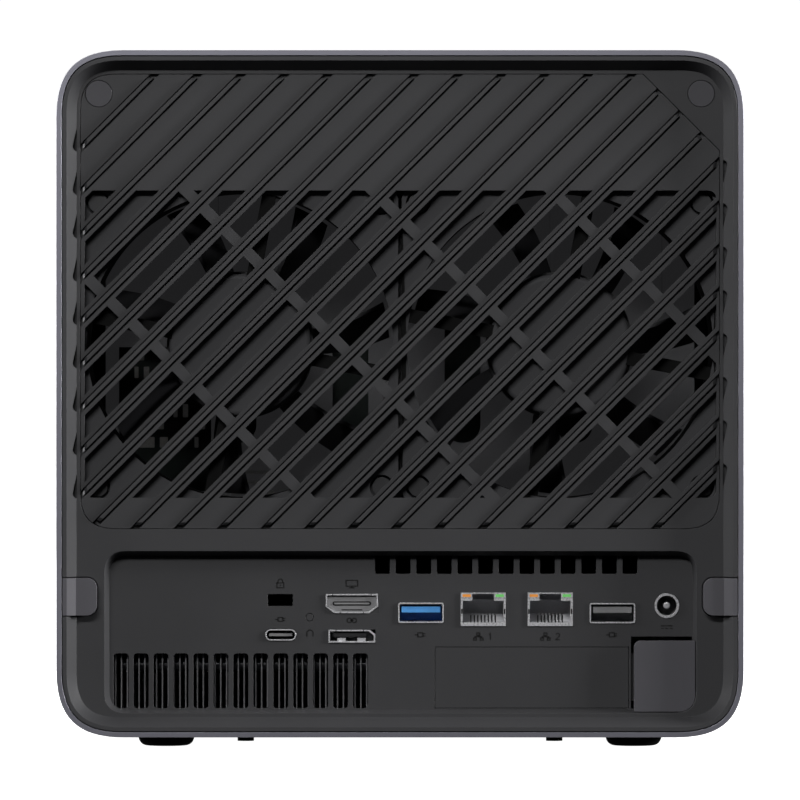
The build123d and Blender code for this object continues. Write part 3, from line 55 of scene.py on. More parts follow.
# ---- materials -------------------------------------------------------------------------------
CLOUD_SCALE = 45
CLOUD_DETAIL = 3
GRAIN_DETAIL = 2
RAMP_START = 0.3
RAMP_END = 0.7
ROUGH_SPREAD = 0.06
LEAST_ROUGH = 0.02
RELIEF_DEPTH = 0.0002
BEVEL_SAMPLES = 4


def finish_material(
    name,
    colour,
    rough,
    metallic=0.0,
    vary=0.12,
    grain=3500.0,
    bump=0.08,
    edge=0.0002,
    specular=0.5,
):
    """Principled material: two close colours in soft clouds, a fine grain, and softened edges.

    vary is how far the two colours lie apart, grain the noise scale of the fine relief, and edge
    the radius in metres by which sharp edges are softened."""
    material = bpy.data.materials.new(name)
    material.use_nodes = True
    tree = material.node_tree
    shader = tree.nodes["Principled BSDF"]
    shader.inputs["Metallic"].default_value = metallic
    shader.inputs["Specular IOR Level"].default_value = specular
    place = tree.nodes.new("ShaderNodeTexCoord")
    clouds = tree.nodes.new("ShaderNodeTexNoise")
    clouds.inputs["Scale"].default_value = CLOUD_SCALE
    clouds.inputs["Detail"].default_value = CLOUD_DETAIL
    tree.links.new(place.outputs["Object"], clouds.inputs["Vector"])
    fine = tree.nodes.new("ShaderNodeTexNoise")
    fine.inputs["Scale"].default_value = grain
    fine.inputs["Detail"].default_value = GRAIN_DETAIL
    tree.links.new(place.outputs["Object"], fine.inputs["Vector"])
    ramp = tree.nodes.new("ShaderNodeValToRGB")
    ramp.color_ramp.elements[0].position = RAMP_START
    ramp.color_ramp.elements[1].position = RAMP_END
    ramp.color_ramp.elements[0].color = (*(c * (1 - vary) for c in colour), 1)
    ramp.color_ramp.elements[1].color = (*(min(c * (1 + vary), 1) for c in colour), 1)
    blend = tree.nodes.new("ShaderNodeMath")
    blend.operation = "ADD"
    half = tree.nodes.new("ShaderNodeMath")
    half.operation = "MULTIPLY"
    half.inputs[1].default_value = 0.5
    tree.links.new(clouds.outputs["Fac"], blend.inputs[0])
    tree.links.new(fine.outputs["Fac"], blend.inputs[1])
    tree.links.new(blend.outputs[0], half.inputs[0])
    tree.links.new(half.outputs[0], ramp.inputs["Fac"])
    tree.links.new(ramp.outputs["Color"], shader.inputs["Base Color"])
    spread = tree.nodes.new("ShaderNodeMapRange")
    spread.inputs["To Min"].default_value = max(rough - ROUGH_SPREAD, LEAST_ROUGH)
    spread.inputs["To Max"].default_value = min(rough + ROUGH_SPREAD, 1)
    tree.links.new(fine.outputs["Fac"], spread.inputs["Value"])
    tree.links.new(spread.outputs["Result"], shader.inputs["Roughness"])
    relief = tree.nodes.new("ShaderNodeBump")
    relief.inputs["Strength"].default_value = bump
    relief.inputs["Distance"].default_value = RELIEF_DEPTH
    tree.links.new(fine.outputs["Fac"], relief.inputs["Height"])
    if edge:
        soften = tree.nodes.new("ShaderNodeBevel")
        soften.samples = BEVEL_SAMPLES
        soften.inputs["Radius"].default_value = edge
        tree.links.new(soften.outputs["Normal"], relief.inputs["Normal"])
    tree.links.new(relief.outputs["Normal"], shader.inputs["Normal"])
    return material


def glow(material, colour, strength):
    """Adds a faint light of its own: a lamp's, or fill light deep inside the case."""
    shader = material.node_tree.nodes["Principled BSDF"]
    shader.inputs["Emission Color"].default_value = (*colour, 1)
    shader.inputs["Emission Strength"].default_value = strength
    return material


# Each look: colour, roughness, metallic, spread of its two colours, grain, relief, softened edge.
ALUMINIUM = finish_material(
    "bead_blasted_aluminium", (0.265, 0.263, 0.305), 0.42, 0.85, 0.05, 5200, 0.05
)
PLASTIC = finish_material(
    "textured_black_plastic", (0.042, 0.042, 0.0445), 0.46, 0, 0.08, 4200, 0.1, specular=0.3
)
GRILLE_PLASTIC = finish_material(
    "grille_plastic", (0.045, 0.045, 0.0475), 0.44, 0, 0.08, 4200, 0.1, specular=0.3
)
TAB_PLASTIC = finish_material(
    "lighter_plastic", (0.066, 0.065, 0.072), 0.42, 0, 0.08, 4200, 0.08, specular=0.3
)
CAP_PLASTIC = finish_material(
    "cap_plastic", (0.085, 0.083, 0.093), 0.42, 0, 0.08, 4200, 0.08, specular=0.3
)
FAN_PLASTIC = finish_material("fan_plastic", (0.025, 0.025, 0.027), 0.4, 0, 0.1, 2600, 0.05)
FRAME_PLASTIC = finish_material(
    "fan_frame_plastic", (0.055, 0.055, 0.058), 0.6, 0, 0.1, 2600, 0.06, specular=0.15
)
# Near black, painted shade: for the gap between the sleeve and the bezels, the fans' ducts and struts,
# and the edges of the cage's slots.
PAINTED_SHADE_BLACK = finish_material(
    "painted_shade_black", (0.004, 0.004, 0.004), 0.7, 0, 0.1, 2600, 0.06, specular=0.1
)
# The cage wall glows faintly: painted fill light deep inside the case.
WALL_PAINTED_FILL = glow(
    finish_material("cage_wall_painted_fill", (0.12, 0.12, 0.126), 0.5, 0, 0.12, 2400, 0.1),
    (0.95, 0.95, 1.0),
    0.013,
)
RUBBER = finish_material("rubber", (0.012, 0.012, 0.012), 0.3, 0, 0.2, 1800, 0.12)
POWDER_COAT = finish_material("grey_powder_coat", (0.12, 0.12, 0.126), 0.5, 0, 0.12, 2400, 0.2)
ZINC = finish_material("zinc_sheet", (0.55, 0.55, 0.57), 0.35, 1.0, 0.12, 900, 0.05)
NICKEL = finish_material("nickel", (0.62, 0.62, 0.64), 0.28, 0.35, 0.06, 1600, 0.03, 0.0001)
OXIDE = finish_material("black_oxide", (0.03, 0.03, 0.03), 0.35, 0.8, 0.2, 2500, 0.1)
# Black socket plastic, also used as painted shade inside the USB-C shells.
SOCKET_BLACK_AND_SHADE = finish_material(
    "socket_plastic_and_shade", (0.02, 0.02, 0.022), 0.4, 0, 0.1, 3000, 0.05, 0.0001
)
SOCKET_GREY = finish_material("socket_grey", (0.22, 0.22, 0.225), 0.4, 0, 0.1, 3000, 0.05, 0.0001)
SOCKET_SHADE = finish_material("socket_shade", (0.2, 0.2, 0.205), 0.5, 0, 0.1, 3000, 0.05, 0)
LAN_SHADE = finish_material("lan_lining", (0.62, 0.62, 0.64), 0.45, 0, 0.06, 2000, 0.05, 0)
BLUE = finish_material("blue_tongue", (0.10, 0.38, 0.85), 0.35, 0, 0.08, 3000, 0.03, 0.0001)
# A darker copy of the blue tongue for its deeper faces: painted shade.
BLUE_SHADE = finish_material("blue_painted_shade", (0.05, 0.22, 0.72), 0.4, 0, 0.08, 3000, 0.03, 0)
BOARD = finish_material("board_mask", (0.012, 0.02, 0.017), 0.35, 0, 0.25, 700, 0.05, 0.0001)
MEMORY = finish_material("memory_mask", (0.012, 0.06, 0.035), 0.35, 0, 0.2, 700, 0.05, 0.0001)
DARK_NICKEL = finish_material("dark_nickel", (0.10, 0.10, 0.11), 0.35, 1.0, 0.15, 400, 0.05)
FINS = finish_material("fin_aluminium", (0.30, 0.30, 0.31), 0.4, 1.0, 0.1, 900, 0.05)
AMBER = glow(
    finish_material("amber_lens", (0.62, 0.24, 0.05), 0.25, 0, 0.1, 900, 0.02, 0.00005),
    (1.0, 0.38, 0.06),
    0.2,
)
GREEN = glow(
    finish_material("green_lens", (0.16, 0.55, 0.14), 0.25, 0, 0.1, 900, 0.02, 0.00005),
    (0.2, 0.85, 0.2),
    0.16,
)
MILKY = finish_material("milky_lens", (0.6, 0.63, 0.66), 0.25, 0, 0.05, 900, 0.02, 0.00005)
GLOSS_BLACK = finish_material("button_gloss", (0.03, 0.03, 0.033), 0.18, 0, 0.08, 2000, 0.02)
# Black print, also used for painted shade: the comb slots, the video slot, the keyways and the screw
# recesses.
BLACK_INK_AND_SHADE = finish_material("printed_ink_and_shade", (0.006, 0.006, 0.006), 0.35, 0, 0.1, 2500, 0.02, 0)
# Pale print, also used for the painted highlights at the left ends of the ribs.
PALE_INK_AND_HIGHLIGHT = finish_material("pale_ink_and_highlight", (0.28, 0.28, 0.29), 0.5, 0, 0.1, 2500, 0.02, 0)
CHIP = finish_material("chip_resin", (0.02, 0.02, 0.02), 0.45, 0, 0.2, 2200, 0.1, 0.0001)
# Pale parts that glow faintly: painted fill light deep inside the case.
PALE_PARTS_PAINTED_FILL = glow(
    finish_material("pale_parts_painted_fill", (0.34, 0.33, 0.31), 0.45, 0, 0.25, 1500, 0.1, 0.0001),
    (1.0, 1.0, 1.0),
    0.009,
)

NODE_LOOKS = {
    "outer_shell": ALUMINIUM,
    "rubber_feet": RUBBER,
    "bottom_screws": OXIDE,
    "rear_bezel": PLASTIC,
    "front_bezel": PLASTIC,
    "fan_grille": GRILLE_PLASTIC,
    "io_plate": PLASTIC,
    "bracket_blank": PLASTIC,
    "reset_button": PLASTIC,
    "screw_caps": TAB_PLASTIC,
    "bracket_cap": CAP_PLASTIC,
    "release_tab_left": CAP_PLASTIC,
    "release_tab_right": CAP_PLASTIC,
    "usb_a_shells": NICKEL,
    "usb_c_shells": NICKEL,
    "video_socket_shell": NICKEL,
    "link_socket_shell": NICKEL,
    "lan_sockets": NICKEL,
    "dc_jack": NICKEL,
    "dc_jack_pin": NICKEL,
    "usb_tongues_fast": BLUE,
    "usb_tongue_plain": SOCKET_GREY,
    "usb_c_tongues": SOCKET_GREY,
    "video_socket_core": SOCKET_GREY,
    "link_socket_core": SOCKET_BLACK_AND_SHADE,
    "lan_cores": LAN_SHADE,
    "lan_lamps_amber": AMBER,
    "lan_lamps_green": GREEN,
    "fan_frame_left": FRAME_PLASTIC,
    "fan_frame_right": FRAME_PLASTIC,
    "fan_rotor_left": FAN_PLASTIC,
    "fan_rotor_right": FAN_PLASTIC,
    "fan_pins": FAN_PLASTIC,
    "fan_bracket": POWDER_COAT,
    "drive_cage": POWDER_COAT,
    "tray_guides": SOCKET_BLACK_AND_SHADE,
    "backplane_board": BOARD,
    "backplane_sockets": SOCKET_BLACK_AND_SHADE,
    "status_lights": MILKY,
    "power_button": GLOSS_BLACK,
    "lower_frame": ZINC,
    "motherboard": BOARD,
    "board_standoffs": ZINC,
    "memory_modules": MEMORY,
    "ssd_modules": MEMORY,
    "cooler_base": DARK_NICKEL,
    "heat_pipes": DARK_NICKEL,
    "heatsink_fins": FINS,
    "blower_housing": SOCKET_BLACK_AND_SHADE,
    "blower_rotor": SOCKET_BLACK_AND_SHADE,
}
for node_name, node in nodes.items():
    if node_name.startswith("tray_lever"):
        look = TAB_PLASTIC
    elif node_name.startswith("tray_") and node_name != "tray_guides":
        look = POWDER_COAT
    else:
        look = NODE_LOOKS[node_name]
    node.data.materials.clear()
    node.data.materials.append(look)

# ---- second looks for some faces of the nodes --------------------------------------------------
# A face belongs to the side of a tube when its normal leans along Y by less than this.
SIDE_LEAN = 0.2
CORNER_FROM = 70 * MM


def gap_shade_look(node_name, look, inset):
    """The side faces that meet in the gap between sleeve and bezels get near-black painted shade."""
    piece = nodes[node_name]
    piece.data.materials.append(look)
    low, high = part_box("outer_shell")
    middle_z = (low.z + high.z) / 2
    for face in piece.data.polygons:
        if abs(face.normal.y) > SIDE_LEAN:
            continue
        across, up = face.center.x, face.center.z - middle_z
        outward = face.normal.x * across + face.normal.z * up > 0
        edge = min(high.x - abs(across), (high.z - low.z) / 2 - abs(up))
        in_corner = min(abs(across), abs(up)) > CORNER_FROM
        if node_name == "outer_shell":
            chosen = not outward
        else:
            chosen = outward and (edge < inset * MM or in_corner)
        if chosen:
            face.material_index = len(piece.data.materials) - 1


def inner_look(node_name, look, depth, ends=(1,)):
    """Faces that lie deeper than depth mm behind a node's rear end, 1, or front end, -1, get a look."""
    piece = nodes[node_name]
    piece.data.materials.append(look)
    low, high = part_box(node_name)
    for face in piece.data.polygons:
        behind = [high.y - face.center.y if end > 0 else face.center.y - low.y for end in ends]
        if min(behind) > depth * MM:
            face.material_index = len(piece.data.materials) - 1


GAP_SHADE_INSET = 2.2
DUCT_DEPTH = 3.0
MOTOR_REACH = 21.5 * MM
DUCT_REACH = 45.5 * MM
WALL_DEPTH = 3 * MM
FACES_REAR = 0.5
# The gap between the sleeve and the bezels gets painted shade.
for name in ("outer_shell", "rear_bezel", "front_bezel"):
    gap_shade_look(name, PAINTED_SHADE_BLACK, GAP_SHADE_INSET)
# Struts and duct of each fan frame get near-black painted shade; motor plate and rim don't.
for name in ("fan_frame_left", "fan_frame_right"):
    inner_look(name, PAINTED_SHADE_BLACK, DUCT_DEPTH)
    frame_low, frame_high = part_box(name)
    middle = (frame_low + frame_high) / 2
    for face in nodes[name].data.polygons:
        reach = math.hypot(face.center.x - middle.x, face.center.z - middle.z)
        if MOTOR_REACH < reach < DUCT_REACH:
            face.material_index = 1
# The cage wall behind the fans glows faintly, painted fill light; its slots' edges get painted shade.
wall_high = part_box("drive_cage")[1].y
nodes["drive_cage"].data.materials.append(WALL_PAINTED_FILL)
nodes["drive_cage"].data.materials.append(PAINTED_SHADE_BLACK)
for face in nodes["drive_cage"].data.polygons:
    if face.center.y > wall_high - WALL_DEPTH:
        face.material_index = 1 if face.normal.y > FACES_REAR else 2
inner_look("dc_jack", SOCKET_SHADE, 0.5)
# The inside of the USB-C shells, deeper than 0.3 mm from either end, turns black: painted shade.
inner_look("usb_c_shells", SOCKET_BLACK_AND_SHADE, 0.3, (1, -1))
# The blue tongues' faces deeper than 1 mm from either end get a darker blue: painted shade.
inner_look("usb_tongues_fast", BLUE_SHADE, 1.0, (1, -1))
inner_look("usb_tongue_plain", SOCKET_SHADE, 1.0)
inner_look("lan_sockets", LAN_SHADE, 0.3)
inner_look("link_socket_core", SOCKET_SHADE, 2.0)


# ---- mesh helpers ----------------------------------------------------------------------------
def mesh_piece(name, points, faces, look, body):
    """A mesh in the shared frame, in metres, riding on a body."""
    mesh = bpy.data.meshes.new(name)
    mesh.from_pydata([tuple(p) for p in points], [], faces)
    mesh.update()
    cleaner = bmesh.new()
    cleaner.from_mesh(mesh)
    bmesh.ops.recalc_face_normals(cleaner, faces=cleaner.faces)
    cleaner.to_mesh(mesh)
    cleaner.free()
    piece = bpy.data.objects.new(name, mesh)
    bpy.context.scene.collection.objects.link(piece)
    piece.data.materials.append(look)
    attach(piece, body)
    return piece


BEVEL_FROM = 50


def prisms(name, outlines, front, back, look, body, facing=1, round_by=0.0, smooth=False):
    """Closed outlines of (across, z) in mm, each a solid from its back y to its outer y, in front.

    facing 1 is the rear side, where across is -X; facing -1 is the front, where across is X."""
    points, faces = [], []
    for outline in outlines:
        start, count = len(points), len(outline)
        for level in (back, front):
            for across, z in outline:
                points.append((-facing * across * MM, level * MM, z * MM))
        faces.append([start + i for i in range(count)])
        faces.append([start + count + i for i in range(count)])
        for i in range(count):
            j = (i + 1) % count
            faces.append([start + i, start + j, start + count + j, start + count + i])
    piece = mesh_piece(name, points, faces, look, body)
    if smooth:
        for face in piece.data.polygons:
            face.use_smooth = len(face.vertices) == 4
    if round_by:
        bevel = piece.modifiers.new("soft_edges", "BEVEL")
        bevel.width = round_by * MM
        bevel.segments = 2
        bevel.limit_method = "ANGLE"
        bevel.angle_limit = math.radians(BEVEL_FROM)
    return piece


def box_outline(left, right, low, high, cut=0.0):
    """A rectangle, with its corners cut off if cut is given."""
    if not cut:
        return [(left, low), (right, low), (right, high), (left, high)]
    return [
        (left + cut, low),
        (right - cut, low),
        (right, low + cut),
        (right, high - cut),
        (right - cut, high),
        (left + cut, high),
        (left, high - cut),
        (left, low + cut),
    ]


def arc(centre, radius, start, end, steps=16):
    """Points along an arc; angles in degrees, anticlockwise from the right."""
    points = []
    for i in range(steps + 1):
        angle = math.radians(start + (end - start) * i / steps)
        points.append((centre[0] + radius * math.cos(angle), centre[1] + radius * math.sin(angle)))
    return points


LEAST_LENGTH = 1e-6
LEAST_LEAN = 0.4


def ribbon(points, width, closed=False):
    """Quads that follow a line with an even width."""
    count = len(points)
    sides = []
    for i, point in enumerate(points):
        before = points[i - 1] if (closed or i) else None
        after = points[(i + 1) % count] if (closed or i < count - 1) else None
        ways = []
        for a, b in ((before, point), (point, after)):
            if a is not None and b is not None:
                length = math.hypot(b[0] - a[0], b[1] - a[1])
                if length > LEAST_LENGTH:
                    ways.append((-(b[1] - a[1]) / length, (b[0] - a[0]) / length))
        nx = sum(w[0] for w in ways)
        nz = sum(w[1] for w in ways)
        size = math.hypot(nx, nz) or 1
        nx, nz = nx / size, nz / size
        lean = max(nx * ways[0][0] + nz * ways[0][1], LEAST_LEAN)
        reach = width / 2 / lean
        sides.append(
            (
                (point[0] + nx * reach, point[1] + nz * reach),
                (point[0] - nx * reach, point[1] - nz * reach),
            )
        )
    quads = []
    for i in range(count if closed else count - 1):
        j = (i + 1) % count
        quads.append([sides[i][0], sides[j][0], sides[j][1], sides[i][1]])
    return quads


def shifted(points, centre, scale=1.0):
    return [(centre[0] + x * scale, centre[1] + z * scale) for x, z in points]


# ---- icons on the rear, all plain signs ------------------------------------------------------
INK_WIDTH = 0.32


def draw(lines, centre, scale=1.0, width=INK_WIDTH):
    quads = []
    for points, closed in lines:
        quads += ribbon(shifted(points, centre, scale), width, closed)
    return quads


PADLOCK = [
    (box_outline(-1.0, 1.0, -1.1, 0.3), True),
    ([(-0.65, 0.3), (-0.65, 0.8)] + arc((0, 0.8), 0.65, 180, 0, 8)[1:] + [(0.65, 0.3)], False),
    ([(0, -0.65), (0, -0.2)], False),
]
SCREEN = [
    (box_outline(-2.1, 2.1, -0.8, 1.3), True),
    ([(0, -0.8), (0, -1.4)], False),
    ([(-1.0, -1.4), (1.0, -1.4)], False),
]
CHAIN = [
    (arc((-0.9, 0), 0.8, 0, 360, 16)[:-1], True),
    (arc((0.9, 0), 0.8, 0, 360, 16)[:-1], True),
    ([(-0.6, 0), (0.6, 0)], False),
]
PLUG = [
    (box_outline(-1.0, 0.6, -0.65, 0.65), True),
    ([(0.6, 0.35), (1.5, 0.35)], False),
    ([(0.6, -0.35), (1.5, -0.35)], False),
    ([(-1.0, 0), (-2.0, 0)], False),
]
NETWORK = [
    (box_outline(-0.55, 0.55, 0.4, 1.3), True),
    (box_outline(-1.7, -0.7, -1.3, -0.5), True),
    (box_outline(0.7, 1.7, -1.3, -0.5), True),
    ([(0, 0.4), (0, -0.05), (-1.2, -0.05), (-1.2, -0.5)], False),
    ([(0, -0.05), (1.2, -0.05), (1.2, -0.5)], False),
]
ONE = [([(-0.45, 0.75), (0, 1.15), (0, -1.15)], False)]
TWO = [
    (arc((0, 0.5), 0.65, 160, -25, 10) + [(-0.7, -1.15), (0.75, -1.15)], False),
]
DIRECT = [
    ([(-1.7, 0.3), (1.7, 0.3)], False),
    ([(-1.7, -0.45), (-0.9, -0.45)], False),
    ([(-0.4, -0.45), (0.4, -0.45)], False),
    ([(0.9, -0.45), (1.7, -0.45)], False),
]
HOOP = [([(-0.9, -0.9), (-0.9, 0.1)] + arc((0, 0.1), 0.9, 180, 0, 10)[1:] + [(0.9, -0.9)], False)]
POWER_SIGN = [(arc((0, 0), 1.9, 125, 415, 22), False), ([(0, 0.6), (0, 2.3)], False)]

REAR_SIGNS = (
    (PADLOCK, (-34.8, 47.7), 1.0),
    (PLUG, (-34.6, 37.4), 0.85),
    (HOOP, (-26.2, 33.3), 1.0),
    (SCREEN, (-14.0, 47.7), 0.8),
    (CHAIN, (-14.0, 37.1), 0.8),
    (PLUG, (6.1, 32.9), 0.9),
    (NETWORK, (22.8, 32.4), 0.8),
    (ONE, (26.3, 32.4), 0.8),
    (NETWORK, (42.3, 32.4), 0.8),
    (TWO, (45.9, 32.4), 0.8),
    (PLUG, (61.8, 32.9), 0.9),
    (DIRECT, (77.6, 35.2), 1.0),
)
# Printed marks stand out of their surface by INK_OUT and reach into it by INK_IN, in mm.
INK_OUT = 0.03
INK_IN = 0.02
PLATE_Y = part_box("io_plate")[1].y / MM
rear_ink = []
for sign, centre, scale in REAR_SIGNS:
    rear_ink += draw(sign, centre, scale)
prisms("rear_marks", rear_ink, PLATE_Y + INK_OUT, PLATE_Y - INK_IN, BLACK_INK_AND_SHADE, "chassis")

# ---- sockets: contacts, springs and seams ----------------------------------------------------
PORT_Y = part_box("usb_a_shells")[1].y / MM
VIDEO = (-14.0, 42.0)
LINK = (-14.0, 32.5)
USB_PORTS = ((6.1, 39.3), (61.8, 39.2))
LAN_PORTS = ((24.2, 40.3), (43.7, 40.3))
USB_CONTACTS = (-3.5, -1.0, 1.0, 3.5)
LAN_SLOTS = 8
LAN_SLOT_PITCH = 1.02


def bar(centre, across, z, width, tall, cut=0.0):
    """A rectangle about a point given from a socket's centre, in mm."""
    x, y = centre[0] + across, centre[1] + z
    return box_outline(x - width / 2, x + width / 2, y - tall / 2, y + tall / 2, cut)


springs, contacts = [], []
for port in USB_PORTS:
    for side in (-1, 1):
        springs.append(bar(port, side * 2.9, -2.55, 1.6, 0.3))
        springs.append(bar(port, side * 2.9, 2.62, 1.6, 0.16))
    for across in USB_CONTACTS:
        contacts.append(bar(port, across, -0.32, 1.0, 0.5, 0.1))
prisms("usb_springs", springs, PORT_Y - 0.3, PORT_Y - 1.2, BLACK_INK_AND_SHADE, "chassis")
prisms("usb_contacts", contacts, PORT_Y - 10.8, PORT_Y - 11.1, BLACK_INK_AND_SHADE, "chassis")

lan_marks, slot_shade = [], []
for port in LAN_PORTS:
    for side in (-1, 1):
        lan_marks.append(bar(port, side * 6.2, -0.6, 0.42, 1.5, 0.1))
        lan_marks.append(bar(port, side * 4.85, 3.35, 3.2, 0.1))
    lan_marks.append(bar(port, 0, 4.42, 6.1, 0.14))
    # Eight black bars under each socket: painted shade in the slots of the contact comb.
    for number in range(LAN_SLOTS):
        slot_shade.append(bar(port, (number - (LAN_SLOTS - 1) / 2) * LAN_SLOT_PITCH, -2.9, 0.36, 2.4))
prisms("lan_springs", lan_marks, PORT_Y + 0.03, PORT_Y - 0.3, BLACK_INK_AND_SHADE, "chassis")
prisms("lan_slot_shade", slot_shade, PORT_Y - 2.0, PORT_Y - 2.3, BLACK_INK_AND_SHADE, "chassis")

video_face = [
    (-7.15, 2.35),
    (7.15, 2.35),
    (7.15, -0.75),
    (4.75, -2.35),
    (-4.75, -2.35),
    (-7.15, -0.75),
]
video_block = [shifted(video_face, VIDEO)]
prisms("video_block", video_block, PORT_Y - 0.9, PORT_Y - 1.0, SOCKET_SHADE, "chassis")
obround = arc((5.0, 0), 0.62, -90, 90, 8) + arc((-5.0, 0), 0.62, 90, 270, 8)
# The dark outline round the tongue and the bar under it are painted shade in the slot.
video_slot_shade = [shifted(obround, VIDEO), bar(VIDEO, 0, -1.85, 6.0, 0.35)]
prisms("video_slot_painted_shade", video_slot_shade, PORT_Y - 0.86, PORT_Y - 0.9, BLACK_INK_AND_SHADE, "chassis")
video_tongue = [bar(VIDEO, 0, 0, 10.3, 0.5)]
prisms("video_tongue", video_tongue, PORT_Y - 0.6, PORT_Y - 0.85, SOCKET_GREY, "chassis")
collar = [
    shifted([(side * 7.75, -1.05), (side * 7.75, -2.95), (side * 5.05, -2.95)], VIDEO)
    for side in (-1, 1)
]
prisms("video_collar", collar, PLATE_Y - 0.02, PLATE_Y - 1.0, PLASTIC, "chassis")
seams = [bar(VIDEO, across, 2.6, 0.22, 0.42) for across in (-5.6, 5.6)]
seams += [bar(VIDEO, across, -2.6, 0.22, 0.42) for across in (-3.4, 3.4)]
seams += [bar(LINK, across, 1.65, 0.2, 0.42) for across in (-4.6, 3.4)]
prisms("socket_seams", seams, PORT_Y + 0.02, PORT_Y - 0.3, BLACK_INK_AND_SHADE, "chassis")

# ---- painted highlights at the left ends of the slats' ribs -------------------------------------
RIB_ENDS = 9
RIB_END_TOP = 175.0
RIB_END_PITCH = 12.594
HIGHLIGHT_LEFT = -92.0
HIGHLIGHT_RIGHT = -91.5
rib_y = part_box("fan_grille")[1].y / MM
# Each is a pale sliver where a rib's end face catches the light: a painted highlight.
painted_highlights = []
for number in range(RIB_ENDS):
    z = RIB_END_TOP - RIB_END_PITCH * number
    painted_highlights.append(
        [
            (HIGHLIGHT_LEFT, z - 0.75),
            (HIGHLIGHT_RIGHT, z - 0.3),
            (HIGHLIGHT_RIGHT, z + 0.75),
            (HIGHLIGHT_LEFT, z + 0.3),
        ]
    )
prisms("rib_end_painted_highlights", painted_highlights, rib_y - 0.1, rib_y - 0.5, PALE_INK_AND_HIGHLIGHT, "chassis")

# ---- behind the fans: chips on the drive board and louvres in the cage wall -------------------
# Rows of parts as (height, size up), filled from the left with widths and gaps in turn, in mm.
CHIP_ROWS = ((88.5, 3.2), (93.5, 2.2), (98.0, 4.0), (104.5, 2.4), (109.5, 3.4), (114.0, 1.8))
CHIP_WIDTHS = (1.6, 4.8, 2.4, 6.4, 1.2)
CHIP_GAPS = (0.9, 1.6, 0.7)
CHIP_LEFT = -81.0
CHIP_RIGHT = -59.5
CHIP_STAGGER = 1.3
board_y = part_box("backplane_board")[1].y / MM
chips, ceramics = [], []
for row, (z, tall) in enumerate(CHIP_ROWS):
    across = CHIP_LEFT + (row % 3) * CHIP_STAGGER
    turn = row
    while across < CHIP_RIGHT:
        width = CHIP_WIDTHS[turn % 5]
        into = chips if turn % 3 == 0 else ceramics
        into.append(box_outline(across, across + width, z - tall / 2, z + tall / 2, 0.15))
        across += width + CHIP_GAPS[turn % 3]
        turn += 1
prisms("board_chips", chips, board_y + 1.1, board_y, CHIP, "chassis")
# The ceramic parts glow faintly: painted fill light.
prisms("board_ceramics", ceramics, board_y + 0.7, board_y, PALE_PARTS_PAINTED_FILL, "chassis")
CAGE_WALL_Y = 60.0
LOUVRE_LEVELS = (73.6, 76.6, 79.6)
louvres = [box_outline(-51.0, -37.6, z - 0.55, z + 0.55, 0.3) for z in LOUVRE_LEVELS]
# The louvres glow faintly too: painted fill light.
prisms(
    "cage_louvres", louvres, CAGE_WALL_Y + 0.9, CAGE_WALL_Y, PALE_PARTS_PAINTED_FILL, "chassis", round_by=0.2
)

# ---- front: numbers on the trays, grips, locks and signs --------------------------------------
THREE = [(arc((0, 0.55), 0.6, 150, -60, 10) + arc((0, -0.5), 0.68, 70, -155, 10), False)]
FOUR = [([(0.35, -1.15), (0.35, 1.15), (-0.85, -0.4), (0.8, -0.4)], False)]
FIVE = [
    ([(0.65, 1.15), (-0.5, 1.15), (-0.6, 0.1)] + arc((-0.05, -0.4), 0.72, 125, -150, 10), False)
]
NUMERALS = (ONE, TWO, THREE, FOUR, FIVE)
PANEL_FRONT = -121.0
TRAY_FACE_Y = -118.5
LOCK_Z = 74.2
NUMERAL_Z = 161.5
STATUS_Z = 53.4
GRIP_LEVELS = (90, 92, 94)
GRIP_HALF = 8
front_ink = draw(PLUG, (-66.0, 44.6)) + draw(PLUG, (-46.0, 44.6))
for number, numeral in enumerate(NUMERALS):
    lever_low, lever_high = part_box(f"tray_lever_{number + 1}")
    middle = (lever_low.x + lever_high.x) / 2 / MM
    face_y = lever_low.y / MM
    name = f"tray_{number + 1}"
    lever = f"tray_lever_{number + 1}"
    prisms(
        f"{lever}_number",
        draw(numeral, (middle, NUMERAL_Z), 1.7, 0.6),
        face_y - INK_OUT,
        face_y + INK_IN,
        PALE_INK_AND_HIGHLIGHT,
        lever,
        -1,
    )
    grips = [
        box_outline(middle - GRIP_HALF, middle + GRIP_HALF, z - 0.4, z + 0.4, 0.2)
        for z in GRIP_LEVELS
    ]
    prisms(f"{lever}_grip", grips, face_y - 0.4, face_y + INK_IN, TAB_PLASTIC, lever, -1, 0.15)
    lock = [arc((middle, LOCK_Z), 3.1, 0, 360, 40)[:-1]]
    prisms(f"{name}_lock", lock, TRAY_FACE_Y - 0.6, TRAY_FACE_Y, OXIDE, name, -1, 0.25, True)
    # A black bar in the lock's face: painted shade of its keyway.
    keyway_shade = [bar((middle, LOCK_Z), 0, 0, 0.7, 3.4)]
    prisms(f"{name}_keyway", keyway_shade, TRAY_FACE_Y - 0.62, TRAY_FACE_Y - 0.5, BLACK_INK_AND_SHADE, name, -1)
    front_ink += draw(numeral, (middle, STATUS_Z), 0.9, 0.3)
front_faces = (PANEL_FRONT - INK_OUT, PANEL_FRONT + INK_IN)
prisms("front_marks", front_ink, *front_faces, PALE_INK_AND_HIGHLIGHT, "chassis", -1)
button_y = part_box("power_button")[0].y / MM
power_ink = draw(POWER_SIGN, (68.0, 37.0), 1.0, 0.5)
button_faces = (button_y - INK_OUT, button_y + INK_IN)
prisms("power_sign", power_ink, *button_faces, PALE_INK_AND_HIGHLIGHT, "power_button", -1)

# ---- underside: painted shade for the screw recesses, and a blank rating plate -----------------
SCREW_X = (-45.0, 45.0)
SCREW_Y = 110
RECESS_LONG = 3.0
RECESS_WIDE = 0.6
screw_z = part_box("bottom_screws")[0].z / MM


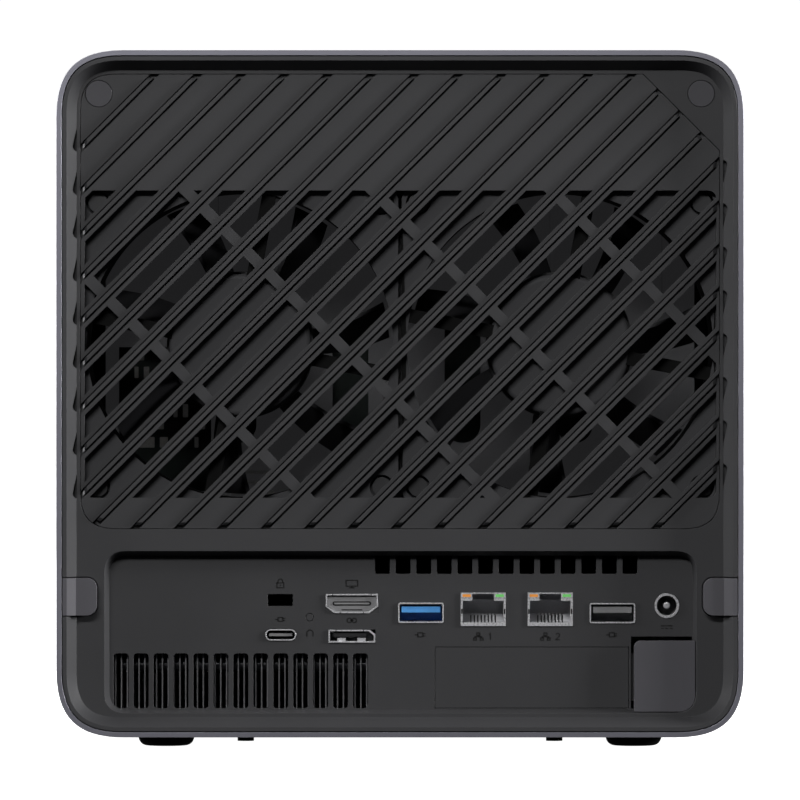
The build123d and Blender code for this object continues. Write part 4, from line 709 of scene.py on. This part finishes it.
def flat_plate(name, left, right, back, front, z, thick, look, body):
    """A thin plate that faces down, in mm."""
    points = []
    for level in (z, z + thick):
        for x, y in ((left, back), (right, back), (right, front), (left, front)):
            points.append((x * MM, y * MM, level * MM))
    faces = [(0, 1, 2, 3), (4, 5, 6, 7), (0, 1, 5, 4), (1, 2, 6, 5), (2, 3, 7, 6), (3, 0, 4, 7)]
    return mesh_piece(name, points, faces, look, body)


# Flat black crosses on the screw heads: painted shade of their cross recesses.
RECESS_ARMS = (("across", RECESS_LONG, RECESS_WIDE), ("along", RECESS_WIDE, RECESS_LONG))
for number, x in enumerate(SCREW_X):
    for name, wide, deep in RECESS_ARMS:
        flat_plate(
            f"screw_{number + 1}_recess_shade_{name}",
            x - wide / 2,
            x + wide / 2,
            SCREW_Y - deep / 2,
            SCREW_Y + deep / 2,
            screw_z - INK_IN,
            0.1,
            BLACK_INK_AND_SHADE,
            "outer_case",
        )
shell_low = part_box("outer_shell")[0].z / MM
flat_plate("rating_plate", -36, 36, -22, 22, shell_low - 0.06, 0.1, SOCKET_GREY, "outer_case")

# ---- camera, light and floor ----------------------------------------------------------------
low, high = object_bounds()
rear_y = high.y
PICTURE_WIDTH = 0.2316
CAMERA_FAR = 2.0
PICTURE_MIDDLE_Z = 0.1012
SENSOR_WIDTH = 36
camera_data = bpy.data.cameras.new("camera")
camera_data.sensor_width = SENSOR_WIDTH
camera_data.lens = SENSOR_WIDTH * CAMERA_FAR / PICTURE_WIDTH
camera = bpy.data.objects.new("camera", camera_data)
bpy.context.scene.collection.objects.link(camera)
camera.location = (0, rear_y + CAMERA_FAR, PICTURE_MIDDLE_Z)
camera.rotation_euler = (math.radians(90), 0, math.radians(180))
bpy.context.scene.camera = camera


def soft_light(name, place, target, size, power, size_y=None):
    """A square area light aimed at the target, or a wide one if size_y is given."""
    data = bpy.data.lights.new(name, "AREA")
    data.energy = power
    data.size = size
    if size_y:
        data.shape = "RECTANGLE"
        data.size_y = size_y
    lamp = bpy.data.objects.new(name, data)
    bpy.context.scene.collection.objects.link(lamp)
    lamp.location = place
    way = Vector(target) - Vector(place)
    lamp.rotation_euler = way.to_track_quat("-Z", "Y").to_euler()


MIDDLE = (0, 0, 0.1)
FACE = (0, rear_y, 0.1)
# Place, target, width, power and, for the wide front light, height, in metres and watts.
soft_light("front_soft", (0.5, 1.95, 1.14), FACE, 1.1, 25, 0.22)
soft_light("right_soft", (-1.35, rear_y + 0.2, 0.42), FACE, 0.36, 35)
soft_light("left_soft", (1.35, rear_y + 0.2, 0.42), FACE, 0.36, 13)
soft_light("top_soft", (0, -0.4, 1.5), MIDDLE, 0.8, 9)
soft_light("far_soft", (0.6, -2.0, 1.0), MIDDLE, 1.0, 16)

SKY_COLOUR = (0.9, 0.92, 1, 1)
SKY_STRENGTH = 0.01
world = bpy.data.worlds.new("studio")
world.use_nodes = True
world.node_tree.nodes["Background"].inputs["Color"].default_value = SKY_COLOUR
world.node_tree.nodes["Background"].inputs["Strength"].default_value = SKY_STRENGTH
bpy.context.scene.world = world


def stage_material(name, colour, strength):
    """A matt look that shows its own pale light, so that the floor has no dark edge."""
    material = bpy.data.materials.new(name)
    material.use_nodes = True
    shader = material.node_tree.nodes["Principled BSDF"]
    shader.inputs["Base Color"].default_value = (*colour, 1)
    shader.inputs["Roughness"].default_value = 0.9
    shader.inputs["Specular IOR Level"].default_value = 0.1
    shader.inputs["Emission Color"].default_value = (*colour, 1)
    shader.inputs["Emission Strength"].default_value = strength
    return material


def stage_piece(name, maker, look):
    """Scenery that the camera sees and that sheds no light on the object."""
    mesh = bpy.data.meshes.new(name)
    shape = bmesh.new()
    maker(shape)
    shape.to_mesh(mesh)
    shape.free()
    piece = bpy.data.objects.new(name, mesh)
    bpy.context.scene.collection.objects.link(piece)
    piece.data.materials.append(look)
    piece.visible_diffuse = False
    piece.visible_glossy = False
    return piece


FLOOR_HALF = 9
BACKDROP_RADIUS = 8.5
stage_piece(
    "floor",
    lambda shape: bmesh.ops.create_grid(shape, x_segments=1, y_segments=1, size=FLOOR_HALF),
    stage_material("pale_floor", (0.85, 0.85, 0.85), 1.25),
)
backdrop = stage_piece(
    "backdrop",
    lambda shape: bmesh.ops.create_uvsphere(
        shape, u_segments=48, v_segments=24, radius=BACKDROP_RADIUS
    ),
    stage_material("pale_backdrop", (0.95, 0.95, 0.95), 1.05),
)
backdrop.visible_shadow = False
backdrop.visible_transmission = False

scene = bpy.context.scene
scene.view_settings.view_transform = "Standard"
scene.view_settings.look = "None"
scene.view_settings.exposure = 0.0
